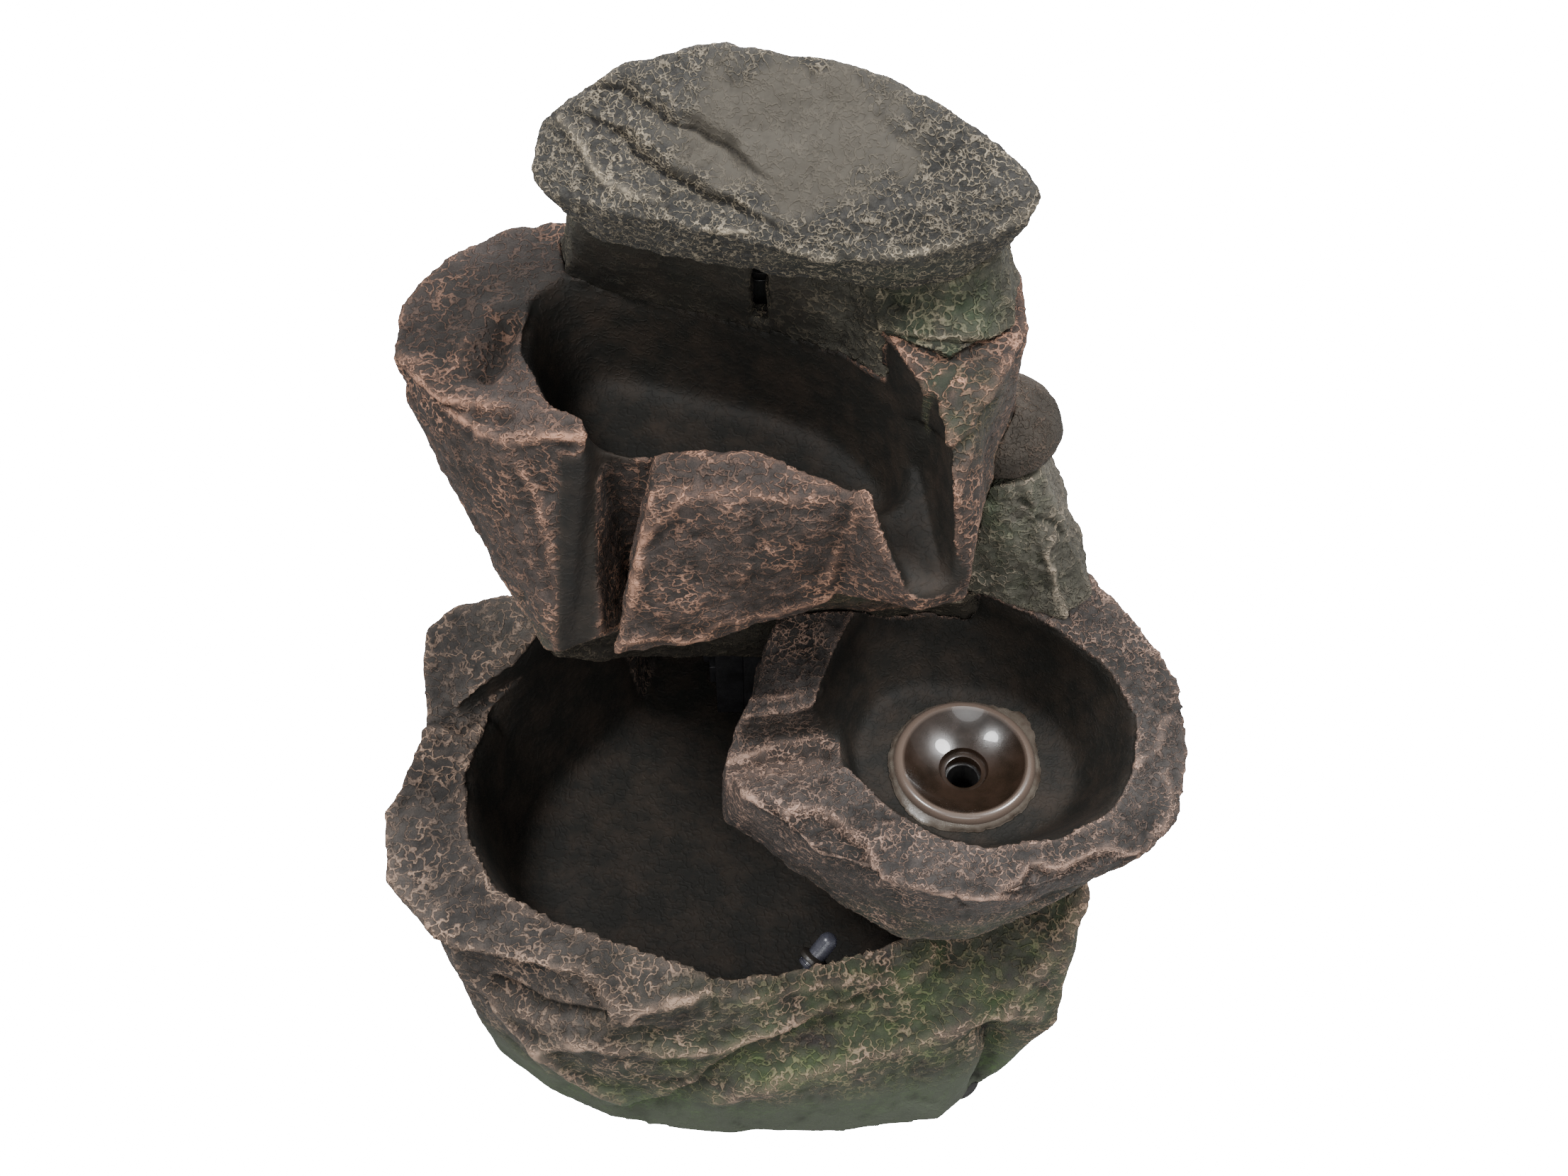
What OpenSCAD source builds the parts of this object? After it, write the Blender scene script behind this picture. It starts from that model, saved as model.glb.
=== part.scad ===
// Tabletop water fountain: hollow cast stones stacked round a small pump, with an upper bowl
// that spills through two spouts, a middle bowl with a ball cup, and a basin at the foot.
// Z is up, the front faces -Y, and the origin is the middle of the footprint on the table.

/* [Stones] */
// Height of the basin's floor above the table
basin_floor = 22; // [20:0.5:24]
// Height of the middle bowl's floor
middle_floor = 90; // [89:0.5:92]
// Height of the upper bowl's floor
upper_floor = 160; // [158:0.5:164]
// Stone left between the basin's floor and the hollow under it
floor_skin = 8; // [6:0.5:9]

/* [Feet] */
// Diameter of a rubber pad
pad_d = 14; // [10:0.5:16]
// Thickness of a rubber pad
pad_t = 3; // [2.5:0.5:4]
// Depth of the pocket that a pad is glued into
pad_pocket = 1.5; // [1:0.25:2]

/* [Ball cup] */
// Outside diameter of the cup's flange
cup_d = 36; // [34:0.5:38]
// Diameter of the glass ball that the dish is shaped for
ball_d = 50; // [46:1:56]
// Diameter of the water jet in the dish
jet_d = 9; // [7:0.5:10]
// Height of the cup's rim above the middle bowl's floor
cup_rise = 3.5; // [3:0.5:5]

/* [Lights] */
// Diameter of a light emitting diode
led_d = 5; // [3:0.5:5]
// Diameter of a lead
lead_d = 2.4; // [1.8:0.1:2.6]

/* [Rear door] */
// Width of the door plate
door_w = 68; // [66:1:72]
// Height of the door plate
door_h = 50; // [48:1:52]
// Thickness of the door plate
door_t = 3; // [2.5:0.25:3.5]
// Gap round the door plate
door_gap = 0.4; // [0.3:0.1:0.8]
// Bore of the gland that the low-voltage cord leaves through
gland_bore = 5; // [4:0.5:6]

/* [Pump] */
// Width and height of the pump
pump_w = 32; // [30:0.5:33]
// Length of the motor block
motor_l = 30; // [28:0.5:32]
// Diameter of the impeller
impeller_d = 21; // [18:0.5:22]
// Diameter of the rotor magnet
magnet_d = 11; // [9:0.5:12]
// Diameter of the ceramic shaft
shaft_d = 2; // [1.5:0.25:2.5]
// Radial clearance of the impeller on its shaft
shaft_play = 0.05; // [0.03:0.01:0.08]
// Height of the suction cups
sucker_h = 4; // [3:0.5:5]

/* [Hoses] */
// Outside diameter of a hose
hose_d = 11; // [10:0.5:12]
// Inside diameter of a hose
hose_bore = 8; // [7:0.5:8.5]

/* [Hidden] */
$fn = 64;
contact_gap = 0.01;

base_z = pad_t - pad_pocket;
pad_places = [[-66, -50], [50, -68], [60, 48], [-60, 52]];
stone_colour = [0.24, 0.21, 0.19];
copper_colour = [0.36, 0.26, 0.21];
moss_colour = [0.27, 0.30, 0.24];

// Outlines run anticlockwise from the front. A point is [x, y, z], or [x, y] where z is given.
base_foot = [[2, -85], [22, -84], [45, -81], [56, -72], [68, -60], [72, -42], [74, -15], [74, 15],
  [68, 45], [50, 70], [25, 82], [-15, 83], [-48, 74], [-70, 55], [-80, 30], [-82, 0], [-82, -20],
  [-80, -42], [-75, -61], [-60, -73], [-43, -81], [-24, -85]];
base_waist = [[2, -82, 24], [22, -79, 26], [42, -74, 28], [60, -67, 28], [76, -64, 28],
  [80, -45, 30], [82, -15, 30], [80, 15, 30], [72, 48, 30], [54, 74, 30], [25, 84, 30],
  [-15, 85, 30], [-50, 78, 30], [-76, 58, 30], [-90, 32, 30], [-89, 0, 30], [-90, -20, 30],
  [-90, -40, 32], [-81, -58, 30], [-60, -75, 32], [-42, -79, 34], [-20, -81, 30]];
base_rim = [[0, -72, 46], [22, -66, 44], [42, -61, 44], [60, -60, 46], [77, -57, 48],
  [82, -43, 62], [86, -15, 64], [84, 15, 64], [74, 48, 63], [54, 74, 62], [25, 84, 62],
  [-15, 85, 62], [-50, 77, 62], [-74, 54, 56], [-95, 32, 74], [-94, 0, 66], [-103, -19, 60],
  [-101, -38, 58], [-84, -57, 57], [-58, -64, 60], [-41, -76, 57], [-13, -70, 55]];
base_lip = [[2, -62, 56], [19, -57, 55], [34, -51, 53], [44, -44, 54], [50, -34, 60],
  [52, -20, 62], [48, -5, 63], [44, 8, 63], [48, 24, 62], [50, 44, 62], [45, 74, 62],
  [-4, 77, 62], [-40, 72, 62], [-47, 42, 64], [-58, 25, 68], [-72, 9, 64], [-78, -9, 61],
  [-77, -24, 60], [-68, -39, 60], [-50, -49, 60], [-31, -55, 60], [-12, -62, 57]];
basin_mouth = [[2, -64], [20, -59], [36, -53], [46, -45], [49, -34], [49, -20], [46, -5], [42, 8],
  [44, 24], [46, 44], [42, 71], [-4, 73], [-38, 69], [-44, 42], [-60, 27], [-74, 11], [-81, -8],
  [-80, -24], [-71, -41], [-52, -52], [-33, -58], [-13, -65]];
basin_bed = [[2, -55], [16, -51], [28, -46], [37, -39], [41, -30], [41, -18], [39, -5], [37, 8],
  [40, 24], [42, 44], [39, 69], [-4, 70], [-35, 67], [-38, 38], [-52, 22], [-64, 8], [-70, -8],
  [-70, -24], [-62, -37], [-46, -47], [-30, -52], [-13, -57]];
base_hollow = [[-10, -66], [30, -66], [44, -54], [60, -36], [62, 20], [52, 56], [24, 66], [-40, 64],
  [-58, 40], [-64, 0], [-60, -34], [-40, -60]];
left_boulder = [[-96, 31, 71], [-89, 35, 77], [-74, 38, 79], [-60, 30, 82], [-58, 24, 77],
  [-72, 20, 77], [-84, 7, 69], [-92, 14, 68], [-94, 26, 50], [-70, 50, 60], [-60, 40, 50]];

// The tower stands on the rim behind the basin.
tower_foot = [[-20, 30, 60], [5, 30, 60], [30, 26, 60], [56, 14, 60], [72, 20, 60], [74, 42, 60],
  [68, 60, 60], [54, 72, 60], [25, 80, 60], [-15, 81, 60], [-46, 75, 60], [-62, 62, 60],
  [-68, 46, 60], [-66, 32, 60], [-56, 26, 60], [-40, 28, 60]];
tower_waist = [[-20, 24, 90], [5, 22, 90], [28, 18, 90], [54, 14, 90], [70, 20, 90], [72, 42, 90],
  [66, 60, 90], [52, 73, 90], [25, 79, 90], [-15, 80, 90], [-44, 74, 90], [-58, 62, 90],
  [-64, 46, 90], [-64, 30, 90], [-58, 22, 90], [-40, 22, 90]];
tower_top = [[-20, 6, 118], [5, 5, 118], [26, 6, 118], [48, 8, 118], [62, 16, 118], [66, 40, 118],
  [62, 58, 118], [50, 71, 118], [25, 78, 118], [-15, 79, 118], [-44, 74, 118], [-58, 60, 118],
  [-64, 44, 118], [-65, 24, 118], [-60, 6, 118], [-42, 3, 118]];

// The middle bowl hangs forward over the right of the basin and spills to the left.
middle_foot = [[49, -49, 60], [60, -47, 60], [73, -44, 60], [79, -38, 60], [81, -26, 60],
  [82, -10, 60], [80, 6, 60], [77, 20, 60], [72, 36, 60], [60, 38, 62], [46, 36, 64],
  [40, 24, 64], [36, 12, 64], [34, 2, 64], [33, -8, 64], [33, -16, 64], [34, -24, 63],
  [36, -32, 62], [38, -40, 61], [42, -47, 60]];
middle_edge = [[49, -60, 67], [64, -56, 72], [80, -51, 83], [91, -44, 88], [95, -28, 90],
  [94, -10, 92], [88, 6, 94], [82, 18, 94], [74, 34, 94], [60, 38, 94], [40, 36, 94],
  [18, 30, 94], [2, 18, 94], [-3, 4, 94], [-8, -12, 90], [-12, -24, 83], [-12, -33, 79],
  [-2, -40, 79], [16, -51, 72], [33, -60, 67]];
middle_ridge = [[51, -70, 107], [70, -65, 107], [88, -58, 106], [99, -48, 105], [102.5, -30, 108],
  [102, -12, 112], [92, 2, 118], [82, 12, 120], [76, 30, 120], [60, 34, 120], [40, 34, 120],
  [20, 28, 120], [6, 14, 118], [0, 2, 111], [-3, -10, 108], [-9, -22, 106], [-11, -30, 102],
  [-5, -43, 107], [12, -58, 109], [32, -67, 109]];
middle_lip = [[51, -55, 110], [68, -52, 110], [79, -46, 110], [85, -36, 111], [86, -22, 113],
  [81, -11, 115], [70, -2, 118], [62, 4, 119], [53, 7, 119], [44, 9, 118], [36, 9, 118],
  [28, 7, 117], [22, 4, 116], [18, -5, 115], [14, -16, 114], [14, -26, 110], [20, -36, 110],
  [25, -41, 110], [32, -48, 110], [41, -53, 110]];
middle_mouth = [[52, -57], [70, -54], [82, -47], [88, -36], [89, -22], [83, -10], [70, 0], [53, 10],
  [36, 12], [22, 6], [16, -6], [12, -17], [16, -28], [21, -37], [29, -46], [41, -54]];
middle_bed = [[51, -47], [62, -45], [72, -39], [77, -31], [77, -21], [73, -11], [64, -4], [51, 0],
  [38, 1], [28, -3], [24, -10], [21, -17], [21, -26], [25, -34], [32, -41], [41, -46]];

// Rock between the middle bowl and the upper bowl, on the right.
shoulder_foot = [[40, 12, 112], [58, 4, 112], [74, 0, 112], [84, 6, 112], [79, 30, 112],
  [76, 52, 112], [58, 62, 112], [42, 58, 112]];
shoulder_waist = [[44, 12, 136], [58, 9, 136], [68, 9, 136], [74, 14, 136], [74, 32, 136],
  [68, 50, 136], [56, 58, 136], [44, 56, 136]];
shoulder_top = [[46, 14, 157], [54, 13, 158], [61, 14, 158], [65, 19, 156], [65, 32, 154],
  [60, 44, 154], [52, 50, 154], [46, 48, 154]];

// The upper bowl is five angular blocks run together.
upper_left = [[-52, 68, 192], [-66, 66, 190], [-78, 57, 189], [-87, 46, 186], [-88, 32, 184],
  [-80, 20, 183], [-62, 6, 186], [-41, 4, 188], [-38, 20, 188], [-38, 60, 193], [-85, 26, 172],
  [-76, 19, 157], [-64, 9, 134], [-60, 3, 119], [-54, -15, 130], [-50, -19, 135],
  [-40, -18, 140], [-62, 44, 118], [-56, 62, 118], [-30, 40, 118], [-30, 4, 118]];
upper_core = [[-40, 60, 193], [-40, 8, 182], [18, -4, 184], [38, -2, 190], [56, 18, 192],
  [57, 46, 192], [46, 68, 191], [10, 77, 190], [-20, 77, 190], [-50, 68, 190], [-56, 60, 118],
  [-62, 30, 118], [-52, 5, 118], [-20, 5, 118], [24, 5, 118], [48, 9, 118], [62, 38, 118],
  [50, 69, 118], [-10, 77, 118]];
upper_lobe = [[-26, 2, 184], [-22, -4, 184], [-14, -3, 185], [-4, -2, 188], [11, -9, 185],
  [20, -13, 186], [-27, -9, 181], [-37, -21, 137], [-30, -19, 137], [-18, -19, 139],
  [-5, -17, 142], [9, -14, 145], [14, -15, 150], [-24, 20, 124], [20, 15, 124], [20, 10, 184]];
upper_spout = [[18, -14, 186], [33, -25, 165], [34, -24, 159], [45, -21, 160], [46, -20, 167],
  [42, -14, 189], [38, -7, 197], [48, 1, 200], [49, 2, 168], [14, -13, 152], [30, -8, 144],
  [44, -6, 146], [20, 14, 186], [50, 16, 190], [20, 14, 136], [50, 14, 136]];
upper_flank = [[38, -7, 197], [48, 1, 204], [58, 20, 206], [55, 17, 192], [54, 13, 180],
  [50, 4, 168], [46, 2, 150], [36, -1, 196], [28, 8, 200], [24, 16, 206], [30, 30, 206],
  [56, 40, 204], [58, 44, 150], [30, 30, 150]];
upper_mouth = [[-3, 0], [11, -7], [21, -11], [30, -10], [36, -5], [33, 6], [26, 17], [16, 26],
  [0, 33], [-18, 40], [-36, 47], [-48, 49], [-55, 43], [-57, 29], [-50, 13], [-36, 5], [-18, 1]];
upper_bed = [[-3, 7], [8, 1], [16, -2], [24, -1], [28, 4], [26, 11], [20, 19], [12, 27], [0, 33],
  [-16, 38], [-32, 43], [-42, 43], [-48, 37], [-49, 26], [-43, 17], [-32, 11], [-18, 8]];
// Left chute: a level notch through the rim, then a steep groove down the front.
chute_lip = [[-40, 16, 178], [-27, 14, 178], [-39, 2, 178], [-28, -2, 178], [-43, 16, 205],
  [-24, 16, 205], [-43, 0, 205], [-24, -6, 205]];
chute_run = [[-39, 3, 178], [-28, 0, 178], [-48, -19, 135], [-40, -20, 135], [-50, -27, 117],
  [-41, -28, 117], [-52, -40, 130], [-34, -44, 130], [-46, -16, 205], [-20, -20, 205],
  [-43, 3, 205], [-24, 0, 205]];
// Right spout: a trough that narrows towards its tip.
spout_run = [[20, 6, 176], [36, 4, 176], [22, -7, 176], [38, -5, 176], [34, -28, 164],
  [42, -26, 164], [18, 8, 215], [37, 4, 215], [19, -10, 215], [40, -10, 215], [29, -34, 200],
  [44, -30, 200]];

// The crown closes the back of the upper bowl and carries the cap.
crown_foot = [[-34, 46, 188], [-18, 41, 188], [0, 34, 188], [16, 27, 188], [27, 17, 188],
  [40, 12, 188], [54, 18, 188], [57, 40, 188], [48, 64, 188], [22, 75, 188], [-10, 76, 188],
  [-36, 72, 188], [-50, 62, 188], [-48, 52, 188]];
crown_top = [[-36, 33, 230], [-20, 30, 230], [-4, 27, 230], [10, 26, 230], [22, 23, 230],
  [38, 23, 230], [50, 28, 230], [52, 36, 230], [43, 46, 230], [22, 58, 230], [-10, 60, 230],
  [-32, 55, 230], [-41, 46, 230], [-41, 38, 230]];
crown_ledge = [[24, 16, 206], [40, 8, 206], [55, 19, 207], [57, 36, 206], [30, 36, 206],
  [24, 22, 213], [48, 20, 214], [54, 22, 211], [52, 34, 218], [26, 34, 218]];

// The cap is one boulder: its underside, its widest line and its crest.
cap_points = [[-40, 29, 230], [-36, 27, 225], [-20, 25, 222], [8, 23, 219], [28, 20, 217],
  [40, 20, 219], [52, 26, 225], [54, 36, 226], [44, 48, 226], [22, 60, 226], [-12, 62, 227],
  [-36, 56, 229], [-45, 44, 230], [-50, 36, 242], [-48, 29, 239], [-34, 21, 240], [-12, 17, 238],
  [11, 13, 233], [28, 13, 233], [43, 15, 235], [54, 17, 240], [57, 20, 245], [55, 30, 242],
  [46, 44, 239], [26, 64, 237], [-16, 66, 239], [-40, 56, 240], [-48, 46, 242], [-41, 42, 252],
  [-29, 48, 257], [-13, 47, 262], [8, 44, 262], [19, 42, 260], [33, 37, 257], [45, 30, 252],
  [29, 42, 252], [0, 52, 252], [-27, 50, 253]];
pebble_place = [55.5, 27, 164];
pebble_size = [14.5, 14, 11];

cup_place = [49, -23, middle_floor];
cup_r = cup_d / 2;
cup_spigot_d = 26;
dish_r = 15.8;
dish_centre_z = cup_rise + sqrt(pow(ball_d / 2, 2) - pow(dish_r, 2));
dish_low_z = dish_centre_z - ball_d / 2;
elbow_d = 12;
elbow_low_z = 69;
elbow_z = 74;
elbow_turn = 50;

door_place = [4, 0, 90];
door_y = 75;
door_open_w = door_w - 6;
door_open_h = door_h - 6;
gland_place = [20, 0, 8];
gland_y = 66;

riser_place = [-2, 50, 0];
pump_axis_y = 50;
pump_z = basin_floor + sucker_h;
pump_axis_z = pump_z + pump_w / 2;
volute_x = riser_place.x - 6;
volute_l = 12;
motor_x = volute_x + volute_l;
cover_l = 8;
cover_x = volute_x - cover_l;
outlet_top = 70;
tee_z = 82;
tee_half = 12;
nozzle_z = 204;

// Routes of the hoses and leads, chosen so that they stay inside the stones.
ball_route = [[12, 50, tee_z], [24, 49, tee_z], [40, 42, 81], [55, 27, 78], [63, 9, 76],
  [60.5, -9.5, elbow_z], [54.5, -17, elbow_z]];
basin_led_place = [11.5, -56, 49];
basin_led_turn = [-54, 0, -48];
led_heading = [0.60, 0.54, 0.59];
basin_lead_route = [basin_led_place - 3 * led_heading, basin_led_place - 9 * led_heading,
  [4, -66, 36], [4, -67, 26], [4, -65, 14], [4, -58, 9], [8, -30, 8], [14, 10, 8], [18, 40, 8],
  [20, 51, 8]];
cup_lead_route = [[49, -23, 68], [50.5, -22, 65.8], [56, -16, 65], [60, -10, 60], [60.5, -8.5, 44],
  [61.5, -6, 20], [60, -3, 11], [50, 8, 8], [32, 30, 8], [26, 51, 8]];
pump_lead_route = [[33.9, 50, 46], [36.4, 50, 49], [37, 49, 58], [37, 42, 66], [46, 26, 68],
  [58, 14, 68], [64, 8, 62], [65, 4.5, 46], [64, 5, 18], [52, 22, 8], [36, 42, 8], [30, 51, 8]];

// Arithmetic used by the skins and tubes below.
function mean(points) = [for (k = [0:2]) sum([for (p = points) p[k]]) / len(points)];
function sum(v, i = 0) = i < len(v) ? v[i] + sum(v, i + 1) : 0;
function at(outline, z) = [for (p = outline) [p.x, p.y, z]];
function unit(v) = v / norm(v);
// Point at t between b and c on the curve that passes a, b, c and d
function spline(a, b, c, d, t) = 0.5 * (2 * b + (c - a) * t + (2 * a - 5 * b + 4 * c - d) * t * t
  + (3 * b - a - 3 * c + d) * t * t * t);
function smooth(route, steps = 4) = let (m = len(route) - 1) concat(
  [for (i = [0:m - 1]) for (s = [0:steps - 1])
    spline(route[max(i - 1, 0)], route[i], route[i + 1], route[min(i + 2, m)], s / steps)],
  [route[m]]);
function heading(route, i) = let (m = len(route) - 1) unit(route[min(i + 1, m)] - route[max(i - 1, 0)]);
function ring_at(route, i, r, sides) = let (t = heading(route, i),
  ref = abs(t.z) > 0.7 ? [0, 1, 0] : [0, 0, 1], u = unit(cross(ref, t)), v = cross(t, u))
  [for (k = [0:sides - 1]) route[i] + r * cos(360 * k / sides) * u + r * sin(360 * k / sides) * v];

// Closed skin through rings of equal length, the lowest first
module loft(rings) {
  n = len(rings[0]);
  top = len(rings) - 1;
  points = concat([for (r = rings) each r], [mean(rings[0]), mean(rings[top])]);
  walls = [for (k = [0:top - 1]) for (i = [0:n - 1]) let (a = k * n + i, b = k * n + (i + 1) % n)
    each [[a, a + n, b + n], [a, b + n, b]]];
  floor_faces = [for (i = [0:n - 1]) [n * (top + 1), i, (i + 1) % n]];
  roof_faces = [for (i = [0:n - 1]) [n * (top + 1) + 1, top * n + (i + 1) % n, top * n + i]];
  polyhedron(points, concat(walls, floor_faces, roof_faces));
}

// Angular block of stone with these corners
module chunk(corners) {
  hull() polyhedron(corners, [for (i = [0:len(corners) - 3]) [i, i + 1, i + 2]]);
}

// A stone is poured in one mould, so its whole skin is one surface.
module cast() {
  resize([0, 0, 0]) union() children();
}

// Solid round tube along a route
module rod(route, d, sides = 8) {
  rings = [for (i = [0:len(route) - 1]) ring_at(route, i, d / 2, sides)];
  n = sides;
  top = len(rings) - 1;
  walls = [for (k = [0:top - 1]) for (i = [0:n - 1]) let (a = k * n + i, b = k * n + (i + 1) % n)
    each [[a, a + n, b + n], [a, b + n, b]]];
  polyhedron([for (r = rings) each r],
    concat(walls, [[for (i = [0:n - 1]) i]], [[for (i = [0:n - 1]) top * n + n - 1 - i]]));
}

module along_x(place, l, d) {
  translate(place) rotate([0, 90, 0]) cylinder(d = d, h = l);
}

// Shapes that a neighbouring stone is cut to fit
module base_mass() {
  loft([at(base_foot, base_z), base_waist, base_rim, base_lip]);
  chunk(left_boulder);
}
module tower_mass() {
  loft([tower_foot, tower_waist, tower_top]);
}
module middle_mass() {
  loft([middle_foot, middle_edge, middle_ridge, middle_lip]);
}
module shoulder_mass() {
  loft([shoulder_foot, shoulder_waist, shoulder_top]);
}
module upper_mass() {
  for (block = [upper_left, upper_core, upper_lobe, upper_spout, upper_flank]) chunk(block);
}
module crown_mass() {
  loft([crown_foot, crown_top]);
  chunk(crown_ledge);
}
module basin_space() {
  loft([at(basin_bed, basin_floor), at(basin_mouth, 61), at(basin_mouth, 130)]);
}
module upper_space() {
  loft([at(upper_bed, upper_floor), at(upper_mouth, 189), at(upper_mouth, 240)]);
}

// Dry way for the leads, from the hollow under the base up into the middle bowl
module dry_way() {
  roof = middle_floor - 6;
  hull() {
    translate([60.5, -9, 0]) cylinder(r = 3.8, h = 68, $fn = 32);
    translate([65.5, 6, 0]) cylinder(r = 3.8, h = 68, $fn = 32);
  }
  hull() {
    translate([62, -11, 62]) cylinder(r = 8, h = roof - 62, $fn = 32);
    translate([cup_place.x, cup_place.y, 62]) cylinder(r = 8, h = roof - 62, $fn = 32);
    translate([62, 10, 62]) cylinder(r = 8, h = roof - 62, $fn = 32);
  }
}
// Way for the hose and the pump's lead out of the pump chamber
module hose_way() {
  for (i = [0:3]) hull() {
    translate(ball_route[i]) sphere(d = hose_d + 3, $fn = 16);
    translate(ball_route[i + 1]) sphere(d = hose_d + 3, $fn = 16);
  }
  rod(smooth(pump_lead_route), lead_d + 1.6);
}
module pump_chamber() {
  translate([0, 0, 40]) linear_extrude(74)
    offset(5) translate([-35, 37]) square([70, 28]);
}
module riser_way() {
  translate([riser_place.x, riser_place.y, 100]) cylinder(d = hose_d + 1.5, h = 110);
}
module door_plate(w, h, y0, y1) {
  translate([door_place.x - w / 2, y0, door_place.z - h / 2]) cube([w, y1 - y0, h]);
}

module base_casting() color(moss_colour) cast() difference() {
  base_mass();
  basin_space();
  translate([0, 0, -1]) linear_extrude(basin_floor - floor_skin + 1)
    offset(4) offset(-4) polygon(base_hollow);
  dry_way();
  hose_way();
  rod(smooth(basin_lead_route), lead_d + 1.6);
  translate(basin_led_place) rotate(basin_led_turn) {
    translate([0, 0, -5]) cylinder(d = led_d + 1, h = 12, $fn = 32);
    translate([0, 0, -1]) cylinder(d = led_d + 3.6, h = 8, $fn = 32);
  }
  for (p = pad_places) translate([p.x, p.y, 0])
    cylinder(d = pad_d + 0.3, h = pad_t);
  translate([gland_place.x, gland_y - 6, gland_place.z]) rotate([-90, 0, 0]) {
    cylinder(d = gland_bore + 5.2, h = 40);
    cylinder(d = gland_bore + 6.8, h = 6);
  }
}

module pump_tower() color(stone_colour) cast() difference() {
  tower_mass();
  base_mass();
  pump_chamber();
  hose_way();
  dry_way();
  riser_way();
  door_plate(door_open_w, door_open_h, 60, 100);
  door_plate(door_w + 2 * door_gap, door_h + 2 * door_gap, door_y, 100);
}

module middle_bowl() color(stone_colour) cast() difference() {
  middle_mass();
  base_mass();
  tower_mass();
  upper_mass();
  loft([at(middle_bed, middle_floor), at(middle_mouth, 110), at(middle_mouth, 170)]);
  chunk([[26, -18, 98], [26, -34, 98], [-24, -20, 97], [-24, -33, 97], [26, -17, 140],
    [26, -37, 140], [-24, -19, 140], [-24, -37, 140]]);
  dry_way();
  hose_way();
  translate([cup_place.x, cup_place.y, middle_floor - 8])
    cylinder(d = cup_spigot_d + 0.4, h = 10);
}

module shoulder_rock() color(stone_colour) cast() difference() {
  shoulder_mass();
  middle_mass();
  tower_mass();
  upper_mass();
  loft([at(middle_bed, middle_floor), at(middle_mouth, 110), at(middle_mouth, 121)]);
}

module upper_bowl() color(copper_colour) cast() difference() {
  upper_mass();
  tower_mass();
  crown_mass();
  upper_space();
  chunk(chute_lip);
  chunk(chute_run);
  chunk(spout_run);
  riser_way();
}

module crown_rock() color(stone_colour) cast() difference() {
  crown_mass();
  chunk(cap_points);
  riser_way();
  translate([riser_place.x - 7, 40, 180]) cube([14, 18, nozzle_z - 170]);
  translate([riser_place.x - 2.2, 15, 192]) cube([4.5, 30, 24]);
}

module cap_stone() color(stone_colour) cast() chunk(cap_points);

module side_pebble() color(copper_colour) cast() difference() {
  translate(pebble_place) scale(pebble_size) sphere(1, $fn = 40);
  shoulder_mass();
  upper_mass();
}

// Moulded plate with two snap tabs and a finger notch in its lower edge
module rear_door() color("dimgray") {
  difference() {
    door_plate(door_w, door_h, door_y + 0.3, door_y + door_t);
    translate([door_place.x, door_y + door_t, door_place.z - door_h / 2]) rotate([90, 0, 0])
      cylinder(d = 16, h = 1.8, center = true);
  }
  for (s = [-1, 1]) translate([door_place.x + s * (door_open_w / 2 - 2.4), door_y - 3.7, door_place.z])
    cube([2, 8.4, 16], center = true);
}

module foot_pads() color([0.08, 0.08, 0.08]) for (p = pad_places) translate([p.x, p.y, 0])
  rotate_extrude() polygon([[0, 0], [pad_d / 2 - 0.8, 0], [pad_d / 2, 0.8], [pad_d / 2, pad_t],
    [0, pad_t]]);

// Rubber gland in the rear wall, with a groove that grips the stone
module cord_gland() color([0.07, 0.07, 0.07]) translate([gland_place.x, gland_y, gland_place.z])
  rotate([-90, 0, 0]) difference() {
    union() {
      translate([0, 0, -2]) cylinder(d = gland_bore + 6.6, h = 2);
      translate([0, 0, -1]) cylinder(d = gland_bore + 5, h = 18);
    }
    translate([0, 0, -3]) cylinder(d = gland_bore, h = 30);
  }

// Dish for the glass ball, with the jet in its middle and a spigot that goes through the floor
module ball_cup() color([0.2, 0.12, 0.08]) translate(cup_place) difference() {
  rotate_extrude() polygon([[0, -6], [cup_spigot_d / 2, -6], [cup_spigot_d / 2, 0], [cup_r, 0],
    [cup_r, 1.4], [cup_r - 1, cup_rise - 0.5], [cup_r - 1.8, cup_rise], [0, cup_rise]]);
  translate([0, 0, dish_centre_z]) sphere(d = ball_d, $fn = 128);
  translate([0, 0, dish_low_z - 1.2]) cylinder(d1 = jet_d, d2 = jet_d + 3, h = 1.6);
  translate([0, 0, -10]) cylinder(d = jet_d, h = 12);
}

// Bead of clear sealant round the flange
module cup_seal() color([0.6, 0.56, 0.5]) translate(cup_place) rotate_extrude()
  translate([cup_r + 0.02, 0]) polygon([[0, 0], [1.6, 0], [1.2, 0.7], [0.5, 1.1], [0, 1.2]]);

// Plastic fitting under the jet: the hose comes in at the side and the light in from below
module jet_elbow() color([0.1, 0.1, 0.1]) translate([cup_place.x, cup_place.y, 0]) {
  difference() {
    union() {
      translate([0, 0, elbow_low_z]) cylinder(d = elbow_d, h = middle_floor - 6 - elbow_low_z);
      translate([0, 0, elbow_z]) rotate([0, 90, elbow_turn]) cylinder(d = hose_bore, h = 14);
    }
    translate([0, 0, elbow_low_z + 2]) cylinder(d = 8, h = 30);
    translate([0, 0, 60]) cylinder(d = led_d + 0.02, h = 12);
    translate([0, 0, elbow_z]) rotate([0, 90, elbow_turn]) cylinder(d = 5, h = 20);
  }
}

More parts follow.
